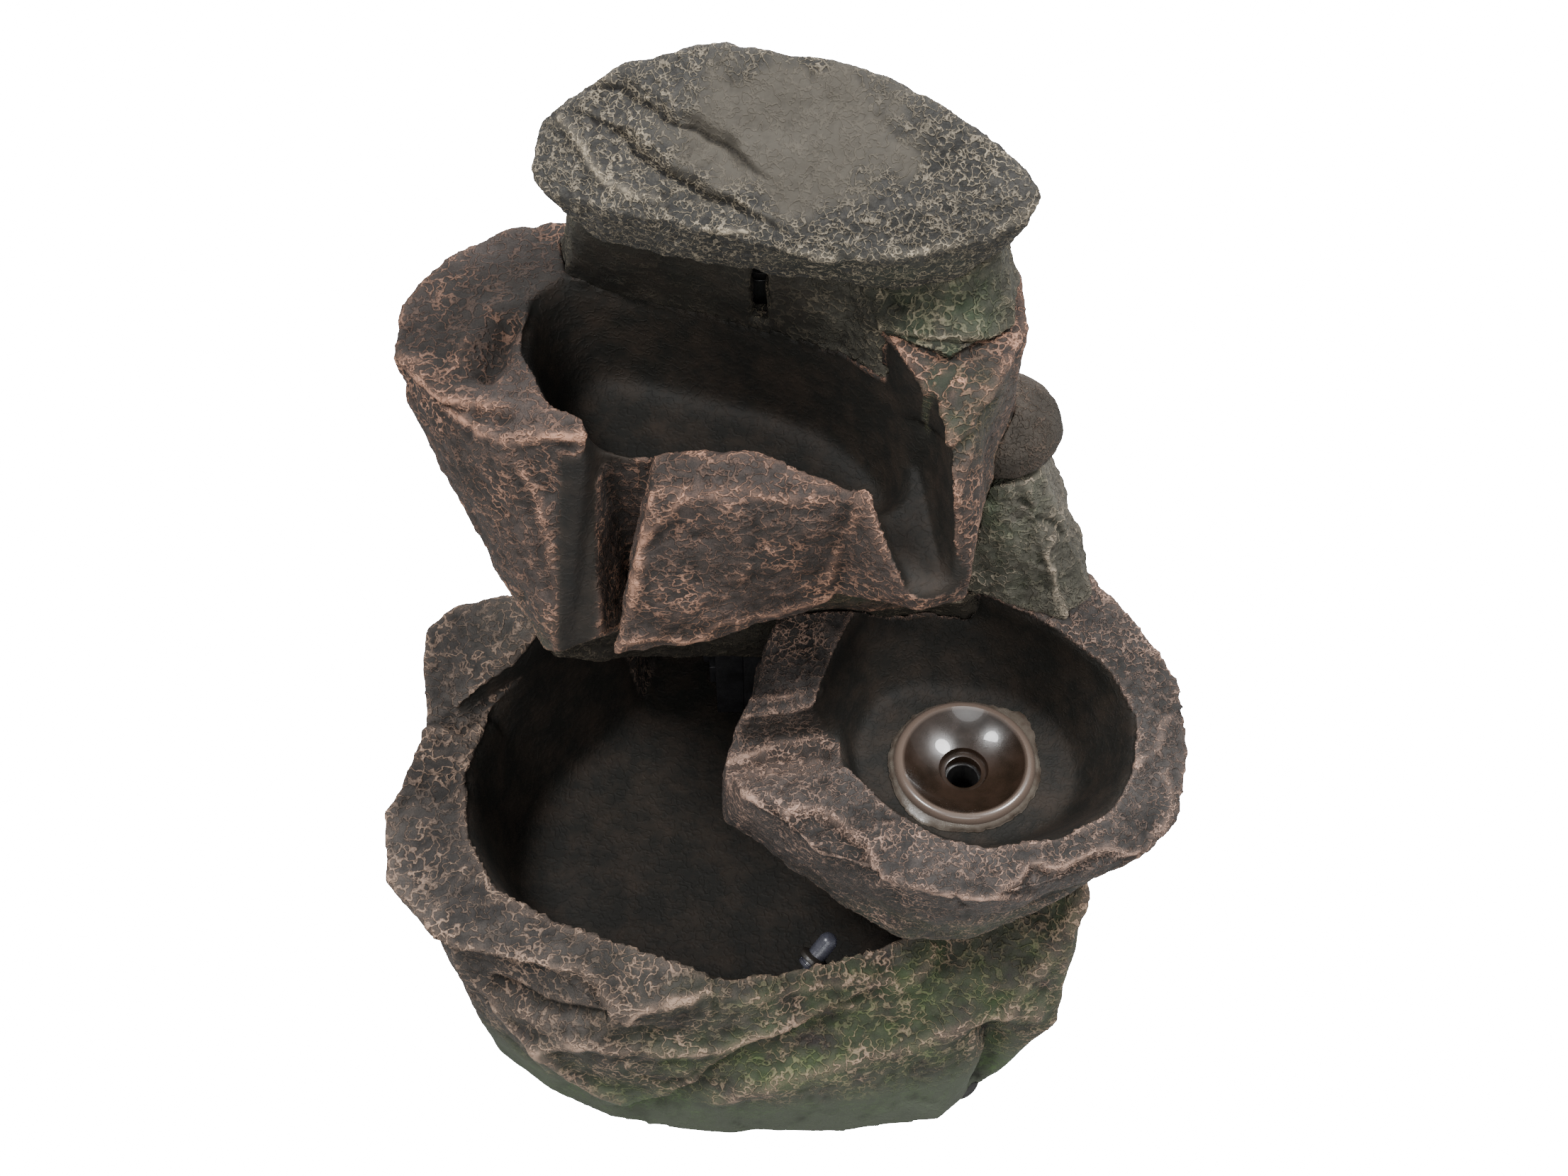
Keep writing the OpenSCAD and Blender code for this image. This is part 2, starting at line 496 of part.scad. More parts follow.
module bullet(d, l) {
  rotate_extrude() union() {
    square([d / 2, l - d / 2]);
    square([d / 2 + 0.4, 1]);
    translate([0, l - d / 2]) intersection() {
      circle(d = d);
      square(d);
    }
  }
}
module cup_led() color([0.85, 0.85, 0.82]) 
  translate([cup_place.x, cup_place.y, elbow_low_z - 1]) bullet(led_d, 8.6);
module basin_led() color([0.85, 0.85, 0.82]) translate(basin_led_place) rotate(basin_led_turn)
  translate([0, 0, -3]) bullet(led_d, 11);
module led_seal() color([0.6, 0.56, 0.5]) translate(basin_led_place) rotate(basin_led_turn)
  translate([0, 0, -1]) rotate_extrude() translate([led_d / 2 + 0.05, 0])
    polygon([[0, 0], [1.6, 0], [1.4, 1.2], [0, 2]]);

module basin_led_lead() color([0.12, 0.12, 0.12]) rod(smooth(basin_lead_route), lead_d);
module cup_led_lead() color([0.12, 0.12, 0.12]) rod(smooth(cup_lead_route), lead_d);
module pump_lead() color([0.12, 0.12, 0.12]) rod(smooth(pump_lead_route), lead_d);
// Potted joint where the leads meet the low-voltage cord
module lead_splice() color([0.1, 0.1, 0.1]) translate([23, 56, 8]) cube([18, 9, 8], center = true);

module pump_body() color([0.09, 0.09, 0.1]) difference() {
  union() {
    translate([motor_x, pump_axis_y - pump_w / 2, pump_z]) cube([motor_l, pump_w, pump_w]);
    translate([volute_x, pump_axis_y - pump_w / 2, pump_z]) cube([volute_l, pump_w, pump_w]);
    translate([riser_place.x, riser_place.y, pump_z + pump_w - 1]) cylinder(d = hose_bore,
      h = outlet_top - pump_z - pump_w + 1);
  }
  along_x([volute_x - 1, pump_axis_y, pump_axis_z], volute_l - 1, impeller_d + 4);
  along_x([volute_x, pump_axis_y, pump_axis_z], volute_l + 22, magnet_d + 1.4);
  along_x([volute_x, pump_axis_y, pump_axis_z], volute_l + 25, 5);
  translate([riser_place.x, riser_place.y, pump_axis_z]) cylinder(d = 5.5, h = 60);
}

// Front plate of the impeller's chamber: four inlets round a hub that holds the front bush
module volute_plate() color([0.1, 0.1, 0.11]) difference() {
  along_x([volute_x - 2, pump_axis_y, pump_axis_z], 2 - contact_gap, impeller_d + 5.5);
  along_x([volute_x - 4, pump_axis_y, pump_axis_z], 8, 5);
  for (a = [45:90:315]) along_x([volute_x - 4, pump_axis_y + 6 * cos(a), pump_axis_z + 6 * sin(a)],
    8, 4.4);
}

// Push-on intake cover with slots and a guide for the regulator
module pump_cover() color([0.11, 0.11, 0.12]) difference() {
  translate([cover_x, pump_axis_y - pump_w / 2, pump_z]) cube([cover_l - 0.05, pump_w, pump_w]);
  translate([cover_x + 2, pump_axis_y - pump_w / 2 + 2, pump_z + 2])
    cube([cover_l, pump_w - 4, pump_w - 4]);
  for (k = [-2:2]) translate([cover_x - 1, pump_axis_y - 11, pump_axis_z - 6 + 4 * k])
    cube([4, 22, 2]);
}

module flow_regulator() color([0.16, 0.16, 0.17]) {
  translate([cover_x - 2.2, pump_axis_y - 8, pump_z + 4]) cube([2, 16, 8]);
  translate([cover_x - 4.2, pump_axis_y - 1.5, pump_z + 5]) cube([2.2, 3, 6]);
}

module impeller() color([0.75, 0.75, 0.75]) difference() {
  union() {
    along_x([volute_x + 1.2, pump_axis_y, pump_axis_z], 8.2, 6);
    along_x([volute_x + 8, pump_axis_y, pump_axis_z], 1.6, impeller_d);
    along_x([motor_x + 0.5 - 3, pump_axis_y, pump_axis_z], 22, magnet_d);
    for (k = [0:5]) translate([volute_x + 1.4, pump_axis_y, pump_axis_z]) rotate([60 * k, 0, 0])
      translate([0, 2, -0.6]) cube([7, impeller_d / 2 - 2.4, 1.2]);
  }
  along_x([volute_x, pump_axis_y, pump_axis_z], 40, shaft_d + 2 * shaft_play);
}

module impeller_shaft() color([0.93, 0.93, 0.9])
  along_x([volute_x - 3, pump_axis_y, pump_axis_z], volute_l + 27, shaft_d);

module shaft_bushes() color([0.07, 0.07, 0.07]) for (x = [volute_x - 3, volute_x + volute_l + 22])
  difference() {
    along_x([x, pump_axis_y, pump_axis_z], 3, 5 - 0.02);
    along_x([x - 1, pump_axis_y, pump_axis_z], 5, shaft_d);
  }

module suction_cups() color([0.15, 0.15, 0.16]) for (x = [volute_x + 5, motor_x + motor_l - 6])
  for (s = [-1, 1]) translate([x, pump_axis_y + s * 10, basin_floor]) rotate_extrude()
    polygon([[0, 1], [3.4, 0], [4.6, 0], [4.2, 0.8], [2, 2.4], [2, sucker_h], [0, sucker_h]]);

module hose(z0, z1) {
  translate([riser_place.x, riser_place.y, z0]) difference() {
    cylinder(d = hose_d, h = z1 - z0);
    translate([0, 0, -1]) cylinder(d = hose_bore, h = z1 - z0 + 2);
  }
}
module pump_hose() color([0.3, 0.32, 0.3]) hose(outlet_top - 9, tee_z - 4.5);
module riser_hose() color([0.3, 0.32, 0.3]) hose(tee_z + 4.5, nozzle_z - 9);

module hose_tee() color([0.12, 0.12, 0.12]) translate([riser_place.x, riser_place.y, tee_z])
  difference() {
    union() {
      translate([0, 0, -tee_half]) cylinder(d = hose_bore, h = 2 * tee_half);
      cylinder(d = hose_bore + 4, h = 8.9, center = true);
      rotate([0, 90, 0]) cylinder(d = hose_bore, h = 22);
    }
    cylinder(d = 5, h = 40, center = true);
    rotate([0, 90, 0]) cylinder(d = 5, h = 30);
  }

// Elbow that turns the water forward through the slit in the crown
module spring_nozzle() color([0.12, 0.12, 0.12])
  translate([riser_place.x, riser_place.y, nozzle_z]) difference() {
    union() {
      translate([0, 0, -16]) cylinder(d = hose_bore, h = 16);
      translate([0, 0, -8.9]) cylinder(d = hose_bore + 3, h = 13);
      rotate([90, 0, 0]) cylinder(d = hose_bore, h = 9.5);
    }
    translate([0, 0, -20]) cylinder(d = 5, h = 20);
    rotate([90, 0, 0]) cylinder(d = 5, h = 20);
  }

module ball_hose() color([0.3, 0.32, 0.3]) difference() {
  rod(smooth(ball_route), hose_d, 16);
  rod(smooth(concat([ball_route[0] - [2, 0, 0]], [for (i = [1:5]) ball_route[i]],
    [ball_route[6] - [1.4, 1.7, 0]])), hose_bore, 16);
}

// Rubber ring that seals the hose where it leaves the wet chamber
module hose_grommet() color([0.07, 0.07, 0.07]) difference() {
  rod([ball_route[2] - 1.8 * heading(ball_route, 2), ball_route[2] + 1.8 * heading(ball_route, 2)],
    hose_d + 2.4, 16);
  rod([ball_route[2] - 4 * heading(ball_route, 2), ball_route[2] + 4 * heading(ball_route, 2)],
    hose_d, 16);
}

base_casting();
pump_tower();
middle_bowl();
shoulder_rock();
upper_bowl();
crown_rock();
cap_stone();
side_pebble();
rear_door();
foot_pads();
cord_gland();
ball_cup();
cup_seal();
jet_elbow();
cup_led();
basin_led();
led_seal();
basin_led_lead();
cup_led_lead();
pump_lead();
lead_splice();
pump_body();
volute_plate();
pump_cover();
flow_regulator();
impeller();
impeller_shaft();
shaft_bushes();
suction_cups();
pump_hose();
hose_tee();
riser_hose();
spring_nozzle();
ball_hose();
hose_grommet();
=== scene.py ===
import math

import bmesh
import bpy
import numpy as np
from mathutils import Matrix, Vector, noise


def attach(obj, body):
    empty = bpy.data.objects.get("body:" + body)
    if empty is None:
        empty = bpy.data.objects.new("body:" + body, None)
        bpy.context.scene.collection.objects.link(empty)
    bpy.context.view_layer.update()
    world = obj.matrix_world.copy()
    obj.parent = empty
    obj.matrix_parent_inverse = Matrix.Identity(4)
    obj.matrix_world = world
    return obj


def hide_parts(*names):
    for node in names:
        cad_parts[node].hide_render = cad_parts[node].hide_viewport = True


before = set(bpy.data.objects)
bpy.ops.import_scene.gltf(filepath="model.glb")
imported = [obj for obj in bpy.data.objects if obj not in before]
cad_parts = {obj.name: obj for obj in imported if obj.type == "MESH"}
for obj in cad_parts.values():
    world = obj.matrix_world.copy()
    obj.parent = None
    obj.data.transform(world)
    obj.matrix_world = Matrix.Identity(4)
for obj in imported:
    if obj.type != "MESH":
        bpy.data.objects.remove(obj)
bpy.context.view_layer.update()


# ---------------------------------------------------------------- table, lamps and camera
# A pale table top, a weak broad lamp in front and another behind, and two small stronger lamps
# high up at the sides. The lens looks down at 54 degrees from straight in front.
studio = bpy.context.scene
seen_glow = 30.0  # how brightly the table and the room shine for the lens alone
room_light = 0.5
table_mesh = bpy.data.meshes.new("table_top")
bm = bmesh.new()
bmesh.ops.create_grid(bm, x_segments=1, y_segments=1, size=4.0)
bm.to_mesh(table_mesh)
bm.free()
table_top = bpy.data.objects.new("table_top", table_mesh)
studio.collection.objects.link(table_top)

table_white = bpy.data.materials.new("table_white")
table_white.use_nodes = True
tree = table_white.node_tree
surface = tree.nodes["Principled BSDF"]
surface.inputs["Base Color"].default_value = (0.55, 0.55, 0.54, 1)
surface.inputs["Roughness"].default_value = 0.9
surface.inputs["Emission Color"].default_value = (1, 1, 1, 1)
looked_at = tree.nodes.new("ShaderNodeLightPath")
glow = tree.nodes.new("ShaderNodeMath")
glow.operation = "MULTIPLY"
glow.inputs[1].default_value = seen_glow
tree.links.new(looked_at.outputs["Is Camera Ray"], glow.inputs[0])
tree.links.new(glow.outputs[0], surface.inputs["Emission Strength"])
table_mesh.materials.append(table_white)

studio.world = bpy.data.worlds.new("room")
studio.world.use_nodes = True
tree = studio.world.node_tree
tree.nodes["Background"].inputs["Color"].default_value = (1, 1, 1, 1)
looked_at = tree.nodes.new("ShaderNodeLightPath")
backdrop = tree.nodes.new("ShaderNodeMath")
backdrop.operation = "MULTIPLY_ADD"
backdrop.inputs[1].default_value = seen_glow
backdrop.inputs[2].default_value = room_light
tree.links.new(looked_at.outputs["Is Camera Ray"], backdrop.inputs[0])
tree.links.new(backdrop.outputs[0], tree.nodes["Background"].inputs["Strength"])

lit_point = Vector((0, 0, 0.12))
for name, place, size, power in (
    ("lamp_front", (0.0, -0.75, 0.80), 0.70, 5.0),
    ("lamp_left", (-0.50, -0.12, 1.15), 0.34, 13.0),
    ("lamp_right", (0.58, 0.05, 1.15), 0.34, 16.0),
    ("lamp_back", (0.0, 1.10, 0.60), 0.60, 9.0),
):
    lamp = bpy.data.lights.new(name, "AREA")
    lamp.shape, lamp.size, lamp.energy = "DISK", size, power
    holder = bpy.data.objects.new(name, lamp)
    holder.location = place
    holder.rotation_euler = (lit_point - Vector(place)).to_track_quat("-Z", "Y").to_euler()
    studio.collection.objects.link(holder)

aim = Vector((0.0035, 0, 0.135))
away, look_down = 0.52, math.radians(54)
lens = bpy.data.cameras.new("lens")
lens.sensor_width, lens.lens = 36, 49.3
camera = bpy.data.objects.new("camera", lens)
camera.location = aim + away * Vector((0, -math.cos(look_down), math.sin(look_down)))
camera.rotation_euler = (aim - camera.location).to_track_quat("-Z", "Y").to_euler()
studio.collection.objects.link(camera)
studio.camera = camera


# ---------------------------------------------------------------- base casting
# The foot and the basin in one: a hollow casting of stone powder in resin, painted dark, wiped
# with copper on its ridges and washed with moss green low down. Its marks, and those of every
# stone below, are placed in millimetres.
class Stone:
    """A casting while it is worked: its even skin, and the marks that its paint follows."""

    def __init__(self, node, face, ease):
        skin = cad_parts[node].data.copy()
        bm = bmesh.new()
        bm.from_mesh(skin)
        bmesh.ops.remove_doubles(bm, verts=bm.verts, dist=2e-6)
        bm.to_mesh(skin)
        bm.free()
        rough = bpy.data.objects.new("rough_" + node, skin)
        studio.collection.objects.link(rough)
        even = rough.modifiers.new("even", "REMESH")
        even.mode, even.voxel_size = "VOXEL", face * 0.001
        eased = rough.modifiers.new("eased", "SMOOTH")
        eased.factor, eased.iterations = 0.5, ease
        worked = rough.evaluated_get(bpy.context.evaluated_depsgraph_get())
        self.mesh = bpy.data.meshes.new_from_object(worked)
        bpy.data.objects.remove(rough)
        self.node = node
        count = len(self.mesh.vertices)
        self.edges = np.zeros(len(self.mesh.edges) * 2, np.int32)
        self.mesh.edges.foreach_get("vertices", self.edges)
        self.edges = self.edges.reshape(-1, 2)
        self.valence = np.bincount(self.edges.ravel(), minlength=count)
        self.rub, self.inside, self.moss, self.foot = (np.zeros(count) for _ in range(4))
        self.look()
        self.start = self.p.copy()
        noise.seed_set(5)  # without a seed, noise_vector differs from one run to the next
        shakes_per_mm, shake = 0.16, 1.1
        drift = [noise.noise_vector(Vector(q) * shakes_per_mm) for q in self.p.tolist()]
        self.wander = np.array(drift) * shake

    def look(self):
        """Reads where the skin now is and which way it faces, in millimetres."""
        count = len(self.mesh.vertices)
        self.p = np.zeros(count * 3, np.float32)
        self.mesh.vertices.foreach_get("co", self.p)
        self.p = self.p.reshape(-1, 3).astype(float) * 1000
        self.n = np.zeros(count * 3, np.float32)
        self.mesh.vertex_normals.foreach_get("vector", self.n)
        self.n = self.n.reshape(-1, 3).astype(float)
        self.lift = np.zeros(count)

    def settle(self):
        """Moves the skin out and in by what has been worked so far."""
        self.p += self.n * self.lift[:, None]
        self.mesh.vertices.foreach_set("co", (self.p * 0.001).astype(np.float32).ravel())
        self.mesh.update()
        self.look()

    def spread(self, values, rounds):
        """Values averaged over their neighbours on the skin."""
        a, b = self.edges.T
        count = len(self.valence)
        for _ in range(rounds):
            total = [np.bincount(a, v[b], count) + np.bincount(b, v[a], count) for v in values.T]
            values = 0.5 * values + 0.5 * np.stack(total, 1) / self.valence[:, None]
        return values

    def nearest(self, line, points):
        """How far each point is from a line of corners, and the place on the line nearest to it."""
        line = np.array(line, float)
        gap, spot = np.full(len(points), 1e9), np.zeros_like(points)
        for a, b in zip(line[:-1], line[1:]):
            share = np.clip(((points - a) @ (b - a)) / max((b - a) @ (b - a), 1e-9), 0, 1)
            q = a + share[:, None] * (b - a)
            d = np.linalg.norm(points - q, axis=1)
            near = d < gap
            gap[near], spot[near] = d[near], q[near]
        return gap, spot

    def ridge(self, line, width, height, rub=0.6):
        """A raised line, with its crest rubbed bright."""
        gap, _ = self.nearest(line, self.p + self.wander)
        hill = np.exp(-((gap / width) ** 2))
        self.lift += height * hill
        self.rub += rub * np.exp(-((gap / max(0.9, 0.4 * width)) ** 2)) * (height > 0)

    def groove(self, line, width, depth):
        """A line pressed in, with nothing rubbed on it."""
        self.ridge(line, width, -depth, 0)

    def ledge(self, line, drop, reach, low_side, rub=0.7):
        """The skin steps down past the line, towards low_side, and rises back over its reach."""
        moved = self.p + self.wander
        gap, spot = self.nearest(line, moved)
        side = (moved - spot) @ np.array(Vector(low_side).normalized())
        brink = 0.9
        step = np.clip(side / brink + 0.5, 0, 1)
        step = step * step * (3 - 2 * step)
        self.lift -= drop * step * np.exp(-((gap / reach) ** 2))
        self.rub += rub * np.exp(-((gap / brink) ** 2)) * (1 - step)

    def wash(self, line, width, amount):
        """Moss paint run along a line."""
        gap, _ = self.nearest(line, self.p + self.wander)
        self.moss += amount * np.exp(-((gap / width) ** 2))

    def hollowed(self, a, b, reach):
        """Marks the skin that faces the line from a to b as the smooth inside of a bowl or chute."""
        gap, spot = self.nearest([a, b], self.p)
        facing = ((spot - self.p) * self.n).sum(1) / np.maximum(gap, 1e-6)
        mark = np.clip((facing - 0.08) / 0.2, 0, 1) * np.clip((reach - gap) / 2, 0, 1)
        self.inside = np.maximum(self.inside, mark)

    def patch(self, place, size, amount, what="moss"):
        """A soft round patch of one mark, which is moss unless another is named."""
        d = (self.p - np.array(place, float)) / np.array(size, float)
        getattr(self, what)[:] += amount * np.exp(-(d * d).sum(1))

    def plain(self):
        """How much of the skin is left smooth: the inside of a bowl fully, the foot nearly so."""
        return np.maximum(self.inside, 0.8 * self.foot)

    def lumps(self, size, height, seed):
        """Soft swellings all over, less on what is left smooth."""
        keep = 1 - 0.85 * self.plain()
        at = (self.start / size + seed).tolist()
        self.lift += height * keep * np.array([noise.fractal(Vector(v), 1.0, 2.1, 3) for v in at])

    def wrinkles(self, size, height, seed, stretch=(1, 1, 1)):
        """Sharp small folds all over, hardly any on what is left smooth."""
        keep = 1 - 0.97 * self.plain()
        at = (self.start / (np.array(stretch) * size) + seed).tolist()
        folds = np.array([noise.ridged_multi_fractal(Vector(v), 0.9, 2.2, 3, 0.92, 1.7) for v in at])
        self.lift += height * keep * (folds - 0.7)

    def planes(self, size, height, seed, where=1.0):
        """Broken faces: each cell of rock leans its own way."""
        keep = (1 - self.inside) * where
        out = np.zeros(len(self.p))
        for i, v in enumerate((self.start / size + seed + self.wander / (3 * size)).tolist()):
            if keep[i] > 0.01:
                gaps, cells = noise.voronoi(Vector(v))[:2]
                lean = noise.cell_vector(cells[0] * 7.3)
                out[i] = (Vector(v) - cells[0]).dot(lean) * min(1.0, (gaps[1] - gaps[0]) * 6)
        self.lift += height * keep * out

    def flowed(self, rounds):
        """Rounds off the inside of the bowls and chutes, as slip runs in a mould."""
        self.p += (self.spread(self.p, rounds) - self.p) * self.inside[:, None]
        self.settle()

    def finished(self, piece, paint, rub_on_edges=1.0):
        """Writes the marks for the paint, and puts the casting on its body."""
        fine = ((self.p - self.spread(self.p, 3)) * self.n).sum(1)
        broad = ((self.p - self.spread(self.p, 16)) * self.n).sum(1)
        edge = np.clip((fine - 0.03) / 0.12, 0, 1) * 0.5 + np.clip((broad - 0.2) / 0.8, 0, 1) * 0.5
        # Hollows in the skin, marked for the paint to darken as painted shade.
        crease_shade = np.clip(-fine / 0.12, 0, 1) * 0.6 + np.clip(-broad / 0.8, 0, 1) * 0.7
        rub = np.clip(edge * rub_on_edges * (1 - self.inside) + self.rub, 0, 1.5)
        marks = {"rub": self.spread(rub[:, None], 1)[:, 0], "crease_shade": np.clip(crease_shade, 0, 1),
                 "inside": self.inside, "moss": np.clip(self.moss, 0, 1), "foot": np.clip(self.foot, 0, 1)}
        for name, values in marks.items():
            mark = self.mesh.attributes.new(name, "FLOAT", "POINT")
            mark.data.foreach_set("value", values.astype(np.float32))
        self.mesh.polygons.foreach_set("use_smooth", np.ones(len(self.mesh.polygons), bool))
        self.mesh.materials.clear()
        self.mesh.materials.append(paint)
        self.mesh.name = piece
        casting = bpy.data.objects.new(piece, self.mesh)
        studio.collection.objects.link(casting)
        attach(casting, "fountain")
        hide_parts(self.node)


def put(tree, kind, feeds=None, **settings):
    """A shader node with its settings, each input either joined to a socket or given a value."""
    node = tree.nodes.new(kind)
    for name, value in settings.items():
        setattr(node, name, value)
    for name, value in (feeds or {}).items():
        socket = node.inputs[name]
        if isinstance(value, bpy.types.NodeSocket):
            tree.links.new(value, socket)
        else:
            socket.default_value = value
    return node


def tone(r, g, b):
    """A paint colour, given as it is seen from 0 to 255."""
    return tuple((c / 255) ** 2.2 for c in (r, g, b)) + (1,)


def maths(tree, operation, *values, clamp=False):
    """The result of a Math node on these sockets or numbers."""
    feeds = dict(enumerate(values))
    return put(tree, "ShaderNodeMath", feeds, operation=operation, use_clamp=clamp).outputs[0]


def ranged(tree, value, low, high, to_low=0.0, to_high=1.0, curve="LINEAR"):
    """A value carried from one range to another, and held at both ends."""
    feeds = {"Value": value, "From Min": low, "From Max": high, "To Min": to_low, "To Max": to_high}
    return put(tree, "ShaderNodeMapRange", feeds, interpolation_type=curve).outputs[0]


def clouds(tree, place, size, detail, rough=0.5):
    """Soft noise at a place, from 0 to 1."""
    feeds = {"Vector": place, "Scale": size, "Detail": detail, "Roughness": rough}
    return put(tree, "ShaderNodeTexNoise", feeds).outputs[0]


def effect(name, places=("Place",), numbers=(), results=()):
    """An empty shader node group that takes places and numbers, and gives numbers."""
    group = bpy.data.node_groups.new(name, "ShaderNodeTree")
    for label in places:
        group.interface.new_socket(label, in_out="INPUT", socket_type="NodeSocketVector")
    for label in numbers:
        group.interface.new_socket(label, in_out="INPUT", socket_type="NodeSocketFloat")
    for label in results:
        group.interface.new_socket(label, in_out="OUTPUT", socket_type="NodeSocketFloat")
    taken, given = group.nodes.new("NodeGroupInput"), group.nodes.new("NodeGroupOutput")
    return group, taken.outputs, given.inputs


# Leathery skin of the casting: raised veins round small flats, with a fine grain over it.
leather, taken, given = effect("leather_skin", ("Place", "Stretch"), ("Size",), ("Veins", "Height", "Grain"))
turned = put(leather, "ShaderNodeVectorMath", {0: taken["Place"], 1: taken["Stretch"]},
             operation="MULTIPLY").outputs[0]
bend = 0.0016
bent = put(leather, "ShaderNodeTexNoise", {"Vector": turned, "Scale": 420, "Detail": 2})
shifted = put(leather, "ShaderNodeVectorMath", {0: bent.outputs["Color"], 1: (bend, bend, bend), 2: turned},
              operation="MULTIPLY_ADD").outputs[0]
folds = clouds(leather, shifted, taken["Size"], 1.5)
crest = maths(leather, "ABSOLUTE", maths(leather, "SUBTRACT", folds, 0.5))
long_veins = ranged(leather, crest, 0.050, 0.012, curve="SMOOTHSTEP")
cell_size = maths(leather, "MULTIPLY", taken["Size"], 1.7)
cells = put(leather, "ShaderNodeTexVoronoi", {"Vector": shifted, "Scale": cell_size},
            feature="DISTANCE_TO_EDGE")
short_veins = ranged(leather, cells.outputs["Distance"], 0.17, 0.03, curve="SMOOTHSTEP")
short_veins = maths(leather, "MULTIPLY", short_veins, ranged(leather, bent.outputs[0], 0.50, 0.64))
veins = maths(leather, "MAXIMUM", long_veins, short_veins)
grain = clouds(leather, taken["Place"], 2600, 3, 0.7)
leather.links.new(veins, given["Veins"])
leather.links.new(maths(leather, "MULTIPLY_ADD", grain, 0.28, veins), given["Height"])
leather.links.new(grain, given["Grain"])

# Dry brush: paint that catches only the ridges and veins, in patches.
brushed, taken, given = effect("dry_brush", numbers=("Rub", "Veins", "Grain", "Amount", "Even"),
                               results=("Mask", "Solid"))
patchy = ranged(brushed, clouds(brushed, taken["Place"], 75, 3), 0.42, 0.72)
patchy = maths(brushed, "MAXIMUM", patchy, taken["Even"])
on_veins = maths(brushed, "MULTIPLY", taken["Veins"], patchy)
on_veins = maths(brushed, "MULTIPLY", on_veins, taken["Amount"])
with_veins = maths(brushed, "MULTIPLY_ADD", taken["Veins"], 0.75, 0.25)
on_edges = maths(brushed, "MULTIPLY", taken["Rub"], with_veins)
both = maths(brushed, "ADD", on_veins, on_edges, clamp=True)
broken = ranged(brushed, taken["Grain"], 0.36, 0.56, 0.3)
brushed.links.new(maths(brushed, "MULTIPLY", both, broken, clamp=True), given["Mask"])
brushed.links.new(ranged(brushed, taken["Rub"], 0.75, 1.25, 0.0, 0.8), given["Solid"])

# Moss wash: thin green paint that lies thicker on the veins of a patch and fades out unevenly.
washed, taken, given = effect("moss_wash", numbers=("Moss", "Veins"), results=("Mask",))
uneven = ranged(washed, clouds(washed, taken["Place"], 120, 4, 0.6), 0.30, 0.68)
damp = maths(washed, "MULTIPLY_ADD", taken["Veins"], 0.6, 0.4)
mask = maths(washed, "MULTIPLY", taken["Moss"], uneven)
washed.links.new(maths(washed, "MULTIPLY", mask, damp, clamp=True), given["Mask"])


